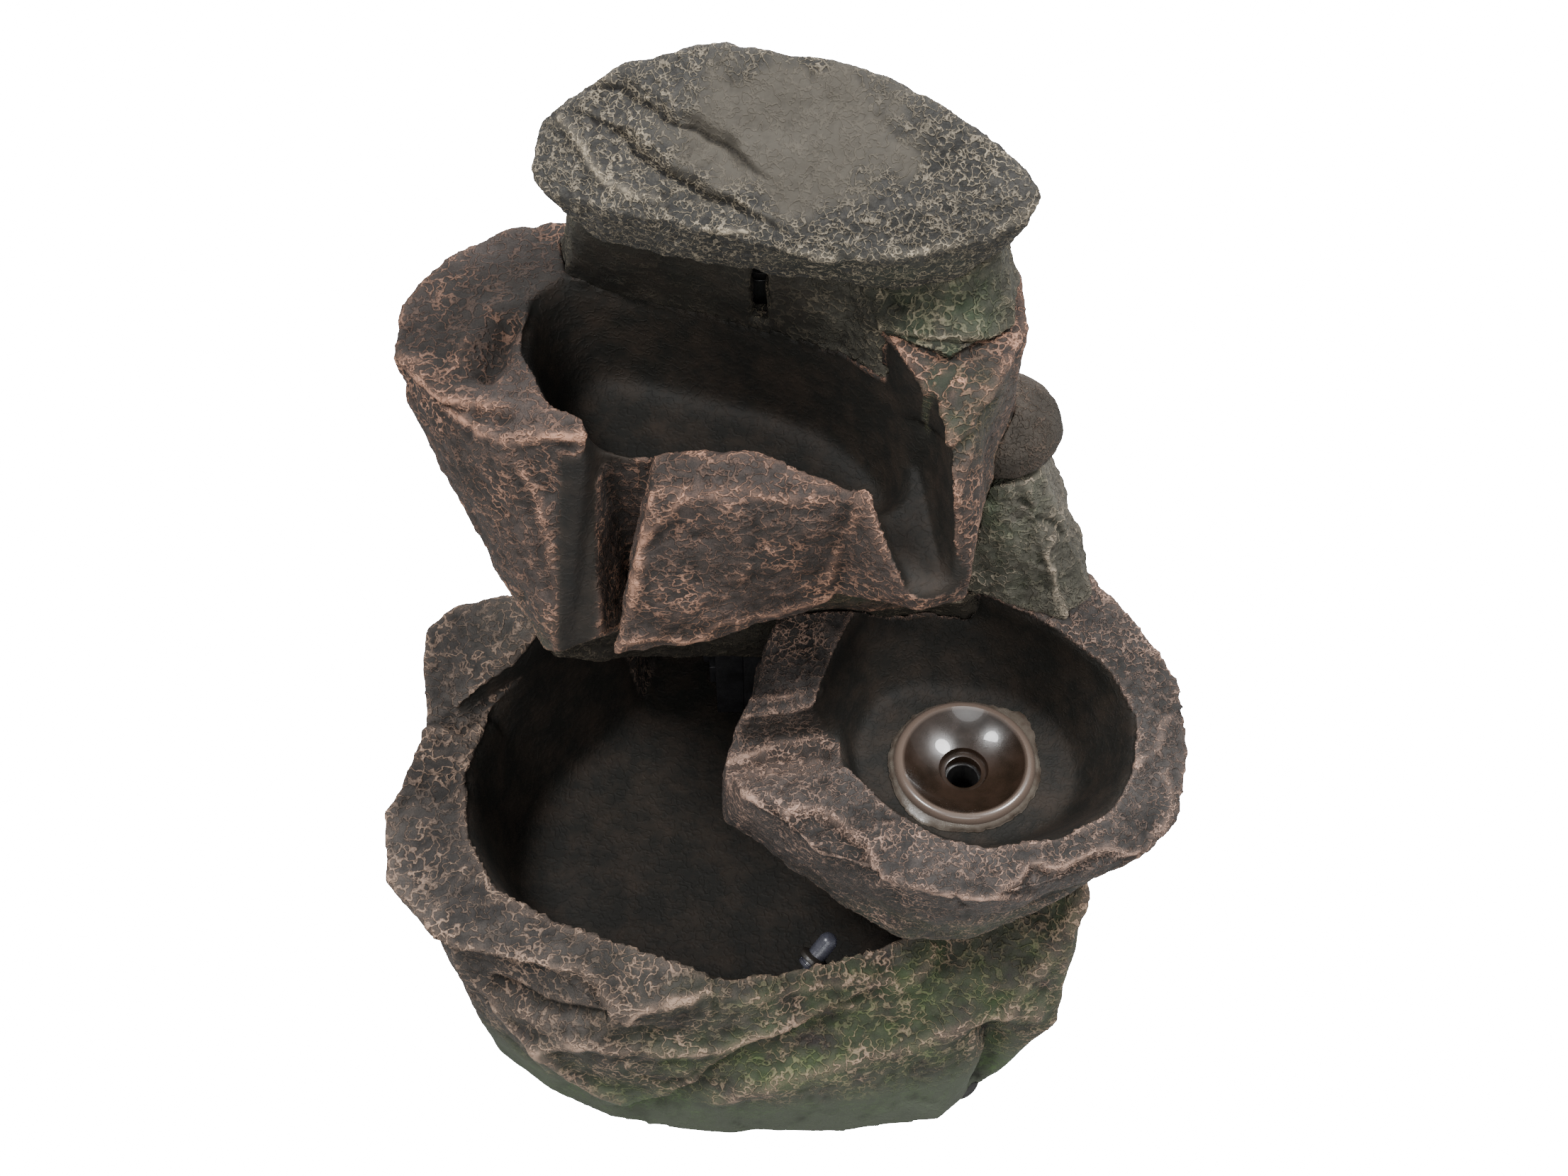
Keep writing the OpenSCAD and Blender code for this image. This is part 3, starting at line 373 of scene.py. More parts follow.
def stone_paint(name, dark, mid, brush, moss, amount, size, stretch=(1, 1, 1), foot=tone(66, 70, 61),
                even=0.15):
    """Painted resin: two body tones, a dark inside that is partly the resin's own tone and partly painted
    shade, painted shade in the creases, a moss wash and a dry brush on top.
    """
    paint = bpy.data.materials.new(name)
    paint.use_nodes = True
    tree = paint.node_tree
    surface = tree.nodes["Principled BSDF"]
    place = put(tree, "ShaderNodeTexCoord").outputs["Object"]
    mark = {m: put(tree, "ShaderNodeAttribute", attribute_name=m).outputs["Fac"]
            for m in ("rub", "crease_shade", "inside", "moss", "foot")}
    skin_feeds = {"Place": place, "Size": size, "Stretch": stretch}
    skin = put(tree, "ShaderNodeGroup", skin_feeds, node_tree=leather).outputs
    brush_feeds = {"Place": place, "Rub": mark["rub"], "Veins": skin["Veins"], "Grain": skin["Grain"],
                   "Amount": amount, "Even": even}
    brush_marks = put(tree, "ShaderNodeGroup", brush_feeds, node_tree=brushed).outputs
    wash_feeds = {"Place": place, "Moss": mark["moss"], "Veins": skin["Veins"]}
    wash = put(tree, "ShaderNodeGroup", wash_feeds, node_tree=washed).outputs["Mask"]

    def mixed(factor, a, b, blend="MIX"):
        feeds = {0: factor, 6: a, 7: b}
        return put(tree, "ShaderNodeMix", feeds, data_type="RGBA", blend_type=blend).outputs[2]

    broad = clouds(tree, place, 45, 5, 0.62)
    body = mixed(ranged(tree, broad, 0.35, 0.66), dark, mid)
    speck = ranged(tree, skin["Grain"], 0.38, 0.66, 0.72, 1.22)
    speck = put(tree, "ShaderNodeCombineColor", {0: speck, 1: speck, 2: speck}).outputs[0]
    body = mixed(1.0, body, speck, "MULTIPLY")
    body = mixed(mark["foot"], body, foot)
    # Creases are darkened towards near black: painted shade.
    body = mixed(ranged(tree, mark["crease_shade"], 0.0, 1.0, 0.0, 0.75), body, tone(22, 20, 18))
    body = mixed(wash, body, moss)
    stain = clouds(tree, place, 110, 6, 0.7)
    # The inside of the bowls and chutes is dark mottled resin, made darker than the rest as painted shade of
    # the hollows.
    inside_tone_and_shade = mixed(ranged(tree, stain, 0.42, 0.72), tone(27, 26, 23), tone(47, 40, 34))
    body = mixed(mark["inside"], body, inside_tone_and_shade)
    # Where the inside mark runs above 1, by the left chute of the upper bowl, the colour goes nearly black: a
    # painted shadow.
    body = mixed(ranged(tree, mark["inside"], 1.05, 1.6, 0.0, 0.75), body, tone(14, 12, 10))
    smooth = maths(tree, "MAXIMUM", mark["inside"], mark["foot"])
    on_rough = maths(tree, "MULTIPLY", brush_marks["Mask"], ranged(tree, smooth, 0.0, 1.0, 1.0, 0.0))
    body = mixed(maths(tree, "MAXIMUM", on_rough, brush_marks["Solid"]), body, brush)
    tree.links.new(body, surface.inputs["Base Color"])
    gloss = mixed(mark["inside"], (0.82, 0.82, 0.82, 1), (0.74, 0.74, 0.74, 1))
    gloss = mixed(ranged(tree, broad, 0.3, 0.7, 0.0, 0.35), gloss, (0.6, 0.6, 0.6, 1))
    tree.links.new(gloss, surface.inputs["Roughness"])
    surface.inputs["Specular IOR Level"].default_value = 0.3
    height = maths(tree, "MULTIPLY", skin["Height"], ranged(tree, smooth, 0.0, 1.0, 1.0, 0.15))
    bumps = put(tree, "ShaderNodeBump", {"Height": height, "Strength": 0.9, "Distance": 0.0006})
    tree.links.new(bumps.outputs[0], surface.inputs["Normal"])
    return paint


base = Stone("base_casting", 1.15, 5)
base.hollowed((-45, -14, 42), (16, -16, 42), 90)
base.flowed(60)
base.foot[:] = np.clip((24 - base.p[:, 2]) / 10, 0, 1)
base.patch((34, -70, 40), (50, 24, 26), 0.9)
base.patch((80, -52, 45), (22, 24, 40), 0.6)
base.patch((-60, -78, 16), (46, 20, 16), 0.55)
base.patch((-62, 34, 76), (16, 16, 10), 0.1)
base.patch((-6, -78, 30), (30, 14, 14), 0.6)
base.ledge([(-91, 4, 66), (-82, 2, 64), (-77, 8, 65)], 1.6, 9, (0, 1, 0))
base.ledge([(-96, -50, 58), (-80, -58, 57), (-67, -62, 59), (-56, -65, 60), (-49, -65, 60), (-44, -69, 58),
            (-40, -76, 52)], 3.4, 10, (-0.2, -0.8, -0.6))
base.groove([(-71, -61, 43), (-64, -65, 46), (-57, -70, 47), (-46, -75, 52), (-41, -77, 51)], 2.0, 3.2)
base.ridge([(-71, -64, 38), (-62, -69, 41), (-52, -75, 42), (-44, -78, 45)], 2.2, 1.0)
base.ridge([(-60, -74, 35), (-47, -77, 43), (-41, -78, 41), (-26, -77, 38), (-15, -77, 39), (-3, -74, 42),
            (21, -67, 43)], 2.4, 1.8)
base.ridge([(-39, -76, 50), (-35, -75, 55), (-25, -72, 56), (-15, -69, 56)], 1.6, 0.9, 0.9)
base.ridge([(-75, -60, 39), (-68, -67, 35), (-60, -74, 34), (-52, -76, 21), (-39, -80, 16)], 3.0, 2.2)
base.groove([(-33, -80, 28), (-27, -81, 25), (-19, -80, 32)], 1.2, 0.8)
base.groove([(-14, -64, 56), (-14, -69, 55), (-14, -72, 50)], 1.0, 1.0)
brow = [(-5, -69, 52), (12, -64, 50), (23, -61, 48), (35, -61, 45), (40, -58, 47), (42, -53, 49)]
base.ridge(brow, 2.6, 1.5, 0.3)
slab_edge = [(-28, -82, 17), (-15, -79, 33), (-3, -75, 41), (9, -71, 43), (15, -68, 44)]
base.ledge(slab_edge, 3.0, 11, (0.3, -0.5, -0.8), 0.5)
base.ridge([(-15, -83, 19), (1, -80, 27), (20, -76, 30), (36, -73, 31), (50, -68, 35), (61, -64, 35),
            (70, -64, 33)], 3.4, 2.2, 0.4)
base.ridge([(61, -64, 35), (65, -61, 41), (74, -53, 50), (78, -47, 57), (81, -45, 60)], 2.8, 1.8, 0.3)
base.groove([(58, -67, 30), (60, -68, 23), (58, -70, 13), (56, -72, 6)], 3.0, 3.4)
base.ledge([(-100, -10, 40), (-92, 20, 38), (-78, 52, 36), (-50, 74, 34), (-20, 83, 36)], 1.6, 12, (0, 0, -1))
base.ledge([(20, 84, 44), (50, 74, 40), (70, 50, 42), (82, 18, 38), (82, -12, 42)], 1.6, 12, (0, 0, -1))
base.groove([(79, 20, 60), (82, 12, 44), (78, 8, 30)], 1.6, 1.4)
base.groove([(-30, 81, 58), (-36, 80, 40), (-33, 78, 24)], 1.6, 1.4)
base.wash(brow, 2.4, 0.7)
base.wash([(-38, -81, 12)] + slab_edge, 3.0, 0.7)
base.wash([(61, -64, 38), (65, -61, 43), (74, -53, 52), (78, -47, 58), (81, -45, 61)], 3.0, 0.9)
base.wash([(60, -62, 30), (62, -66, 20), (60, -68, 10)], 3.0, 0.8)
base.planes(24, 1.0, 3.1)
at_back = np.clip((base.p[:, 1] - 30) / 30, 0, 1) * np.clip((base.p[:, 2] - 16) / 8, 0, 1)
base.planes(40, 3.0, 7.2, at_back)
base.lumps(16, 0.7, 5.2)
base.lumps(5, 0.35, 9.4)
base.settle()
base.wrinkles(3.4, 0.30, 2.2, (1.4, 1.4, 0.8))
base.settle()
base_paint = stone_paint(
    "base_paint", dark=tone(42, 40, 39), mid=tone(64, 60, 57), brush=tone(158, 132, 114),
    moss=tone(76, 96, 58), amount=0.85, size=310, stretch=(0.9, 0.9, 1.2))
base.finished("base", base_paint, 0.7)


# ---------------------------------------------------------------- pump tower
# The hollow block behind the basin that hides the pump. It is the same resin as the base, glued
# down on it, and it stays dark because little of the dry brush reaches it and its front is darkened as
# painted shade.
tower = Stone("pump_tower", 1.0, 4)
tower.patch((14, 8, 84), (22, 16, 22), 0.9)
tower.patch((-58, 10, 110), (14, 16, 14), 0.9)
# The faces that look to the front take a quarter of the dark inside colour and less brush: painted shade on
# the tower's front.
tower.inside[:] = 0.25 * np.clip(-tower.n[:, 1], 0, 1)
tower.ledge([(-60, 20, 96), (-30, 14, 92), (0, 12, 96), (30, 14, 90)], 1.4, 9, (0, 0, -1), 0.2)
tower.ledge([(-40, 78, 100), (-62, 60, 92), (-66, 40, 96), (-60, 16, 92)], 1.6, 9, (0, 0, -1))
tower.ledge([(44, 74, 92), (66, 56, 98), (72, 34, 94), (66, 16, 98)], 1.6, 9, (0, 0, -1))
tower.groove([(56, 66, 114), (60, 64, 84), (57, 68, 66)], 1.6, 1.4)
tower.planes(20, 1.4, 7.7)
at_sides = np.clip((np.abs(tower.p[:, 0] - 4) - 40) / 8, 0, 1)
tower.planes(26, 2.4, 3.6, at_sides)
tower.lumps(12, 0.9, 1.3)
tower.lumps(4, 0.35, 8.8)
tower.settle()
tower.wrinkles(3.0, 0.3, 4.1)
tower.settle()
tower_paint = stone_paint(
    "tower_paint", dark=tone(40, 38, 34), mid=tone(66, 62, 55), brush=tone(130, 118, 100),
    moss=tone(56, 74, 46), amount=0.5, size=320)
tower.finished("tower", tower_paint)


# ---------------------------------------------------------------- middle bowl
# The bowl that holds the ball cup, cast on its own and glued to the tower so that it hangs over
# the basin. Its rim is wiped with copper, and its inside is dark resin with a brown bloom, made darker still
# as painted shade.
bowl = Stone("middle_bowl", 0.85, 4)
bowl.hollowed((44, -24, 101), (60, -24, 101), 60)
bowl.flowed(40)
bowl.patch((52, -62, 74), (34, 18, 14), 0.8)
bowl.patch((84, -40, 70), (20, 30, 14), 0.5)
bowl.ledge([(4, -47, 108), (10, -46, 108), (17, -50, 109), (22, -56, 109), (25, -63, 109)],
           2.8, 7, (-0.6, -0.8, 0), 1.1)
bowl.ledge([(55, -69, 104), (59, -65, 108), (62, -62, 108), (70, -62, 108), (77, -58, 108),
            (88, -57, 106)], 2.4, 6, (0.2, -1, 0), 1.0)
bowl.ridge([(-5, -42, 107), (2, -50, 107), (14, -58, 107), (25, -64, 108), (37, -68, 107), (44, -69, 106),
            (51, -70, 107), (58, -68, 106)], 1.2, 0.5, 1.0)
bowl.ridge([(99, -20, 111), (96, -24, 110), (95, -30, 110), (88, -35, 110)], 1.2, 0.6, 0.5)
bowl.ridge([(96, -36, 108), (98, -44, 106), (92, -52, 106)], 1.2, 0.5, 0.6)
bowl.ridge([(-6, -14, 108), (5, -15, 110), (13, -14, 111)], 1.0, 0.6, 1.0)
bowl.ridge([(-10, -26, 97), (2, -21, 98), (14, -19, 98)], 1.2, 0.4, 1.0)
bowl.ridge([(-12, -31, 99), (-10, -38, 103), (-4, -43, 107)], 1.2, 0.4, 0.9)
bowl.patch((0, -32, 99), (14, 8, 8), 0.85, "rub")
bowl.groove([(-12, -28, 98), (0, -25, 97), (14, -23, 98)], 2.0, 1.4)
bowl.groove([(46, -62, 92), (60, -62, 86), (74, -57, 90)], 2.6, 1.2)
bowl.ledge([(98, -6, 104), (100, -30, 98), (92, -50, 98), (66, -62, 96)], 1.2, 7, (0, 0, -1), 0.2)
bowl.groove([(44, -69, 107), (46, -68, 100)], 1.0, 0.8)
bowl.planes(18, 1.1, 2.9)
bowl.lumps(11, 0.6, 6.1)
bowl.lumps(3.4, 0.28, 3.3)
bowl.settle()
bowl.wrinkles(2.6, 0.24, 7.1)
bowl.settle()
bowl_paint = stone_paint(
    "bowl_paint", dark=tone(43, 42, 41), mid=tone(66, 62, 60), brush=tone(164, 134, 118),
    moss=tone(70, 84, 58), amount=0.85, size=440)
bowl.finished("bowl", bowl_paint)


# ---------------------------------------------------------------- shoulder rock
# The rock that fills the corner between the middle bowl and the upper bowl, cast in the same
# resin and painted lighter. It is green at the top, where water would drip on it.
shoulder = Stone("shoulder_rock", 0.55, 5)
shoulder.patch((52, 10, 150), (16, 12, 14), 1.0)
shoulder.patch((60, 6, 122), (20, 12, 14), 0.35)
shoulder.ridge([(71, 13, 143), (68, 9, 136), (72, 5, 124), (74, 3, 117)], 1.1, 0.7, 0.8)
shoulder.groove([(60, 13, 153), (66, 13, 146), (71, 14, 139)], 1.0, 1.2)
shoulder.ledge([(74, 20, 136), (76, 40, 132), (70, 56, 134)], 1.4, 7, (0, 0, -1), 0.5)
shoulder.planes(15, 1.2, 4.4)
shoulder.lumps(8, 0.7, 2.5)
shoulder.lumps(2.6, 0.3, 6.5)
shoulder.settle()
shoulder.wrinkles(2.2, 0.2, 1.7)
shoulder.settle()
shoulder_paint = stone_paint(
    "shoulder_paint", dark=tone(64, 62, 56), mid=tone(92, 88, 80), brush=tone(160, 146, 128),
    moss=tone(80, 98, 74), amount=0.75, size=340)
shoulder.finished("shoulder", shoulder_paint)


# ---------------------------------------------------------------- upper bowl
# Angular blocks in one hollow casting, with a chute cut down its front left and a pointed spout
# at the right. It sits on the tower, and copper is wiped on heavily along each cut.
upper = Stone("upper_bowl", 0.95, 3)
upper.hollowed((-40, 27, 172), (18, 8, 174), 60)
upper.flowed(60)
upper.hollowed((-34, 12, 184), (-40, -2, 181), 9)
upper.hollowed((-41, -5, 178), (-46, -26, 136), 9)
upper.hollowed((27, 0, 184), (38, -24, 171), 11)
upper.hollowed((18, 6, 182), (32, -8, 177), 15)
upper.patch((-4, 42, 190), (46, 14, 7), 2.5, "inside")
upper.inside = np.clip(upper.inside, 0, 1)
upper.flowed(5)
upper.patch((-74, 30, 186), (14, 18, 8), 0.35, "rub")
upper.patch((46, 4, 198), (12, 12, 10), -0.4, "rub")
upper.patch((-54, -8, 124), (14, 12, 12), 1.0)
upper.patch((40, 6, 196), (10, 10, 9), 1.0)
upper.patch((52, 12, 156), (10, 12, 16), 0.7)
upper.patch((20, 0, 130), (40, 20, 10), 0.6)
upper.ridge([(-61, 42, 191), (-66, 41, 191), (-69, 34, 190), (-73, 25, 188)], 1.7, 1.8, 1.0)
upper.groove([(-61, 36, 189), (-63, 30, 188), (-65, 24, 187)], 3.4, 4.2)
upper.ledge([(-87, 30, 182), (-81, 23, 183), (-75, 17, 184), (-68, 14, 186), (-62, 12, 187)],
            2.4, 6, (-0.3, -0.9, -0.2), 1.2)
upper.ridge([(-76, 16, 182), (-67, 10, 183), (-59, 5, 184), (-50, 5, 186), (-42, 4, 187)], 1.3, 0.7, 1.1)
upper.ridge([(-59, 5, 184), (-52, -2, 172), (-50, -9, 156), (-50, -17, 140)], 1.6, 0.6, 0.3)
upper.ridge([(-42, 2, 187), (-45, -4, 176), (-48, -11, 160), (-50, -20, 136)], 1.6, 0.5, 1.5)
upper.ridge([(-26, -8, 183), (-30, -12, 170), (-34, -17, 154), (-38, -21, 140)], 2.0, 0.4, 1.5)
upper.ridge([(-19, -9, 182), (-29, -13, 167), (-32, -19, 147)], 1.0, 0.5, 0.6)
upper.ridge([(-24, -8, 183), (-15, -8, 184), (-6, -9, 185), (2, -12, 184), (14, -14, 184)], 1.6, 0.3, 0.6)
upper.groove([(-25, -13, 169), (-21, -12, 173), (-14, -12, 174)], 3.2, 1.2)
upper.ridge([(-37, -22, 141), (-29, -20, 142), (-18, -19, 140), (-12, -18, 146), (-3, -17, 147),
             (7, -16, 149), (13, -15, 152)], 1.4, 0.5, 0.8)
upper.ridge([(19, -15, 183), (16, -15, 172), (13, -15, 156)], 1.1, 0.5, 0.8)
upper.ridge([(38, 0, 200), (43, 6, 206), (45, 10, 206)], 1.0, 0.7, 0.3)
upper.ledge([(35, 4, 191), (40, -7, 196), (45, -4, 198), (47, -1, 200), (49, 2, 202)],
            1.4, 6, (-0.2, -0.6, -0.8), 0.6)
upper.patch((-4, 42, 192), (52, 24, 12), -4.0, "rub")
upper.ridge([(54, 13, 199), (55, 17, 180), (52, 8, 170), (47, -10, 176)], 1.2, 0.4, 0.5)
upper.ledge([(-88, 44, 170), (-84, 26, 162), (-74, 14, 150), (-62, 2, 136)], 1.2, 9, (0, 0, -1), 0.3)
upper.ledge([(-40, 70, 164), (-10, 77, 158), (30, 74, 166), (54, 56, 160)], 1.8, 10, (0, 0, -1))
upper.groove([(-70, 66, 186), (-64, 64, 160), (-58, 62, 136)], 1.8, 1.4)
upper.planes(22, 1.1, 8.3)
at_back = np.clip((upper.p[:, 1] - 48) / 20, 0, 1)
upper.planes(34, 3.2, 4.1, at_back)
upper.lumps(13, 0.7, 4.7)
upper.lumps(4, 0.3, 1.9)
upper.settle()
upper.wrinkles(2.8, 0.26, 5.5, (1.5, 1.0, 0.8))
upper.settle()
# Near the left chute the inside mark is raised above 1, which the paint turns nearly black as a painted
# shadow in the chute.
from_chute, _ = upper.nearest([(-37, -6, 180), (-43, -24, 138)], upper.p)
upper.inside *= 1 + 0.7 * np.exp(-((from_chute / 11) ** 2))
upper_paint = stone_paint(
    "upper_paint", dark=tone(43, 40, 38), mid=tone(64, 57, 54), brush=tone(172, 130, 108),
    moss=tone(74, 98, 66), amount=0.8, size=340, stretch=(0.9, 1.0, 1.2))
upper.finished("upper", upper_paint)


# ---------------------------------------------------------------- crown rock
# The rock at the back of the upper bowl, with the slit that the water comes out of. It is glued
# in, it carries the cap, and moss is washed on both its ends.
crown = Stone("crown_rock", 0.75, 4)
# The faces that look to the front over the upper bowl take most of the dark inside colour and little brush:
# partly the bowl's own dark tone, partly painted shade at the back of the bowl.
to_front, over_bowl = np.clip(-crown.n[:, 1] * 1.4, 0, 1), np.clip((18 - crown.p[:, 0]) / 14, 0, 1)
crown.inside[:] = 0.75 * to_front * over_bowl
crown.patch((40, 15, 212), (14, 14, 12), 0.7)
crown.patch((-36, 38, 222), (8, 8, 8), 0.8)
crown.ledge([(26, 16, 208), (34, 13, 209), (40, 13, 209), (46, 13, 208)], 1.8, 6, (0, -0.6, -0.8), 0.6)
crown.groove([(25, 17, 204), (31, 12, 205), (37, 10, 206)], 1.0, 1.0)
crown.ledge([(-50, 56, 206), (-36, 70, 210), (-8, 74, 206), (24, 72, 210), (46, 60, 206)], 1.6, 9, (0, 0, -1))
crown.planes(15, 1.3, 1.9)
at_back = np.clip((crown.p[:, 1] - 45) / 20, 0, 1)
crown.planes(26, 2.8, 6.6, at_back)
crown.lumps(9, 0.8, 5.9)
crown.lumps(3, 0.3, 2.7)
crown.settle()
crown.wrinkles(2.4, 0.22, 3.9)
crown.settle()
crown_paint = stone_paint(
    "crown_paint", dark=tone(40, 39, 35), mid=tone(80, 78, 70), brush=tone(142, 130, 110),
    moss=tone(78, 102, 70), amount=0.6, size=320)
crown.finished("crown", crown_paint)


# ---------------------------------------------------------------- cap stone
# A flat boulder glued on top, with two long cracks and a chipped front lip. Pale sand paint is
# brushed over its coarse leathery skin, except on a smooth worn patch in the middle.
cap = Stone("cap_stone", 0.55, 16)
worn_middle, worn_half = np.array((6, 32, 252)), np.array((26, 15, 16))
ragged = np.array([noise.fractal(Vector(q) / 7, 1.0, 2.1, 3) for q in cap.p.tolist()])
worn = 1.2 - np.linalg.norm((cap.p - worn_middle) / worn_half, axis=1) + 0.35 * ragged
worn = np.clip(worn, 0, 0.4) / 0.4
back_crack = [(-31, 43, 256), (-26, 39, 255), (-21, 36, 253), (-14, 33, 252), (-8, 30, 250)]
front_crack = [(-31, 35, 250), (-27, 31, 248), (-22, 28, 246), (-14, 24, 244), (-9, 22, 242), (-5, 21, 241)]
cap.ledge(back_crack, 2.4, 8, (-0.5, -0.9, 0), 0.4)
cap.groove(back_crack, 1.3, 2.0)
cap.ledge(front_crack, 2.2, 8, (-0.5, -0.9, -0.3), 0.6)
cap.groove(front_crack, 1.2, 2.2)
cap.ridge([(-46, 44, 249), (-42, 37, 248), (-38, 31, 246), (-34, 26, 243), (-29, 23, 243),
           (-22, 21, 242)], 1.2, 1.0, 1.0)
cap.ridge([(-26, 19, 239), (-19, 17, 239), (-12, 16, 238), (-5, 16, 238)], 1.0, 0.7, 1.3)
cap.ridge([(3, 14, 235), (10, 13, 234), (18, 13, 235), (28, 13, 235), (38, 14, 236), (46, 15, 238),
           (56, 19, 244)], 1.6, 0.5, 0.8)
cap.groove([(-10, 15, 232), (8, 12, 229), (30, 12, 229), (46, 15, 232)], 3.0, 1.0)
cap.patch((28, 13, 226), (26, 8, 6), 0.8)
cap.planes(17, 0.9, 6.2)
cap.lumps(12, 0.9, 3.8)
cap.settle()
# The worn middle counts as an inside only while the fine skin is worked, which keeps it smooth.
cap.inside = 0.8 * worn
cap.wrinkles(2.1, 0.34, 9.1, (1.2, 1.2, 0.8))
cap.lumps(1.6, 0.16, 2.1)
cap.settle()
cap.inside = 0 * worn
cap.rub -= 0.9 * worn
cap.foot = 0.9 * worn
cap_paint = stone_paint(
    "cap_paint", dark=tone(42, 42, 41), mid=tone(60, 59, 57), brush=tone(156, 144, 124),
    moss=tone(66, 78, 60), amount=0.85, size=500, even=0.55, foot=tone(74, 70, 63))
cap.finished("cap", cap_paint)


# ---------------------------------------------------------------- side pebble
# A smooth round pebble of the same resin, with hardly any paint brushed on it. It is glued in
# the gap at the right of the upper bowl.
pebble = Stone("side_pebble", 0.45, 4)
pebble.ridge([(62, 18, 168), (67, 24, 166), (68, 30, 160)], 2.4, 0.3, 0.7)
pebble.lumps(7, 0.5, 3.9)
pebble.wrinkles(2.6, 0.12, 8.1)
pebble.settle()
pebble_paint = stone_paint(
    "pebble_paint", dark=tone(54, 50, 45), mid=tone(80, 73, 66), brush=tone(150, 122, 104),
    moss=tone(70, 84, 58), amount=0.25, size=440)
pebble.finished("pebble", pebble_paint)


# ---------------------------------------------------------------- rear door
# A moulded lid that pulls off the back to reach the pump, in plain dark brown plastic with
# softened corners. It is held by its fit in the opening.
sharp_from = math.radians(38)


def moulded(node, piece, body, slot, rounding, paint):
    """A moulded piece after its CAD node, with every sharp edge rounded over, in millimetres."""
    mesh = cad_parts[node].data.copy()
    bm = bmesh.new()
    bm.from_mesh(mesh)
    bmesh.ops.remove_doubles(bm, verts=bm.verts, dist=2e-6)
    bmesh.ops.dissolve_limit(bm, angle_limit=math.radians(1.5), verts=bm.verts, edges=bm.edges)
    sharp = [e for e in bm.edges if len(e.link_faces) == 2 and e.calc_face_angle() > sharp_from]
    bmesh.ops.bevel(bm, geom=sharp, offset=rounding * 0.001, offset_type="OFFSET", segments=2,
                    profile=0.5, affect="EDGES", clamp_overlap=True, material=-1)
    bmesh.ops.recalc_face_normals(bm, faces=bm.faces)
    bm.to_mesh(mesh)
    bm.free()
    made(mesh, piece, body, slot, paint, node)


def made(mesh, piece, body, slot, paint, *nodes):
    """Puts a finished mesh on its body, smooth but for its sharp edges."""
    mesh.name = piece
    mesh.materials.clear()
    mesh.materials.append(paint)
    mesh.shade_smooth()
    mesh.set_sharp_from_angle(angle=sharp_from)
    thing = bpy.data.objects.new(piece, mesh)
    studio.collection.objects.link(thing)
    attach(thing, body)
    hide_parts(*nodes)


# Moulded skin: slow clouds in the colour, and a fine frosting.
skin_of, taken, given = effect("moulded_skin", numbers=("Size",), results=("Cloud", "Frost"))
slow = clouds(skin_of, taken["Place"], taken["Size"], 5, 0.6)
skin_of.links.new(ranged(skin_of, slow, 0.32, 0.68), given["Cloud"])
skin_of.links.new(clouds(skin_of, taken["Place"], 3500, 2, 0.7), given["Frost"])


def moulding_paint(name, fresh, worn, gloss, dull, bump, size=180, clear=0.0, coat=0.0):
    """Plastic, rubber or glue: two tones in slow clouds, a roughness that drifts, a frosted skin."""
    paint = bpy.data.materials.new(name)
    paint.use_nodes = True
    tree = paint.node_tree
    surface = tree.nodes["Principled BSDF"]
    place = put(tree, "ShaderNodeTexCoord").outputs["Object"]
    skin = put(tree, "ShaderNodeGroup", {"Place": place, "Size": size}, node_tree=skin_of).outputs
    colour = put(tree, "ShaderNodeMix", {0: skin["Cloud"], 6: fresh, 7: worn}, data_type="RGBA")
    tree.links.new(colour.outputs[2], surface.inputs["Base Color"])
    tree.links.new(ranged(tree, skin["Cloud"], 0.0, 1.0, gloss, dull), surface.inputs["Roughness"])
    bumps = put(tree, "ShaderNodeBump", {"Height": skin["Frost"], "Strength": bump, "Distance": 0.0001})
    tree.links.new(bumps.outputs[0], surface.inputs["Normal"])
    surface.inputs["Transmission Weight"].default_value = clear
    surface.inputs["Coat Weight"].default_value = coat
    return paint


door_plastic = moulding_paint("door_plastic", tone(44, 40, 36), tone(58, 52, 47),
                              gloss=0.5, dull=0.65, bump=0.5)
moulded("rear_door", "rear_lid", "rear_door", "door_plastic", 0.5, door_plastic)


# ---------------------------------------------------------------- foot pads, gland and grommet
# Soft black rubber, pressed in place: four pads underneath, the cord gland at the back and the
# grommet that takes the jet's hose through the tower wall.
rubber = moulding_paint("rubber", tone(26, 26, 26), tone(40, 39, 38),
                        gloss=0.62, dull=0.8, bump=0.8, size=400)
for node, piece, rounding in (("foot_pads", "pads", 0.5), ("cord_gland", "gland", 0.4),
                              ("hose_grommet", "grommet", 0.4)):
    moulded(node, piece, "fountain", "rubber", rounding, rubber)


# ---------------------------------------------------------------- ball cup
# A moulded cup of glossy dark brown plastic: a rolled rim, a round dish that the ball floats in,
# and a stepped jet hole in its middle. It is spun from one half section, and its rim is painted paler all
# round as a painted sheen.
cup_x, cup_y, cup_seat = 0.049, -0.023, 0.090
hole, boss, flange, dish_edge = 4.5, 13, 18, 15.0
ball_radius, ball_height = 25, 22.87  # the ball, and its centre above the seat


def round_cup(out, turn, up, seat=cup_seat):
    """A place round the middle of the cup: millimetres out, an angle, and millimetres above its seat."""
    return (cup_x + out * 0.001 * math.cos(turn), cup_y + out * 0.001 * math.sin(turn), seat + up * 0.001)


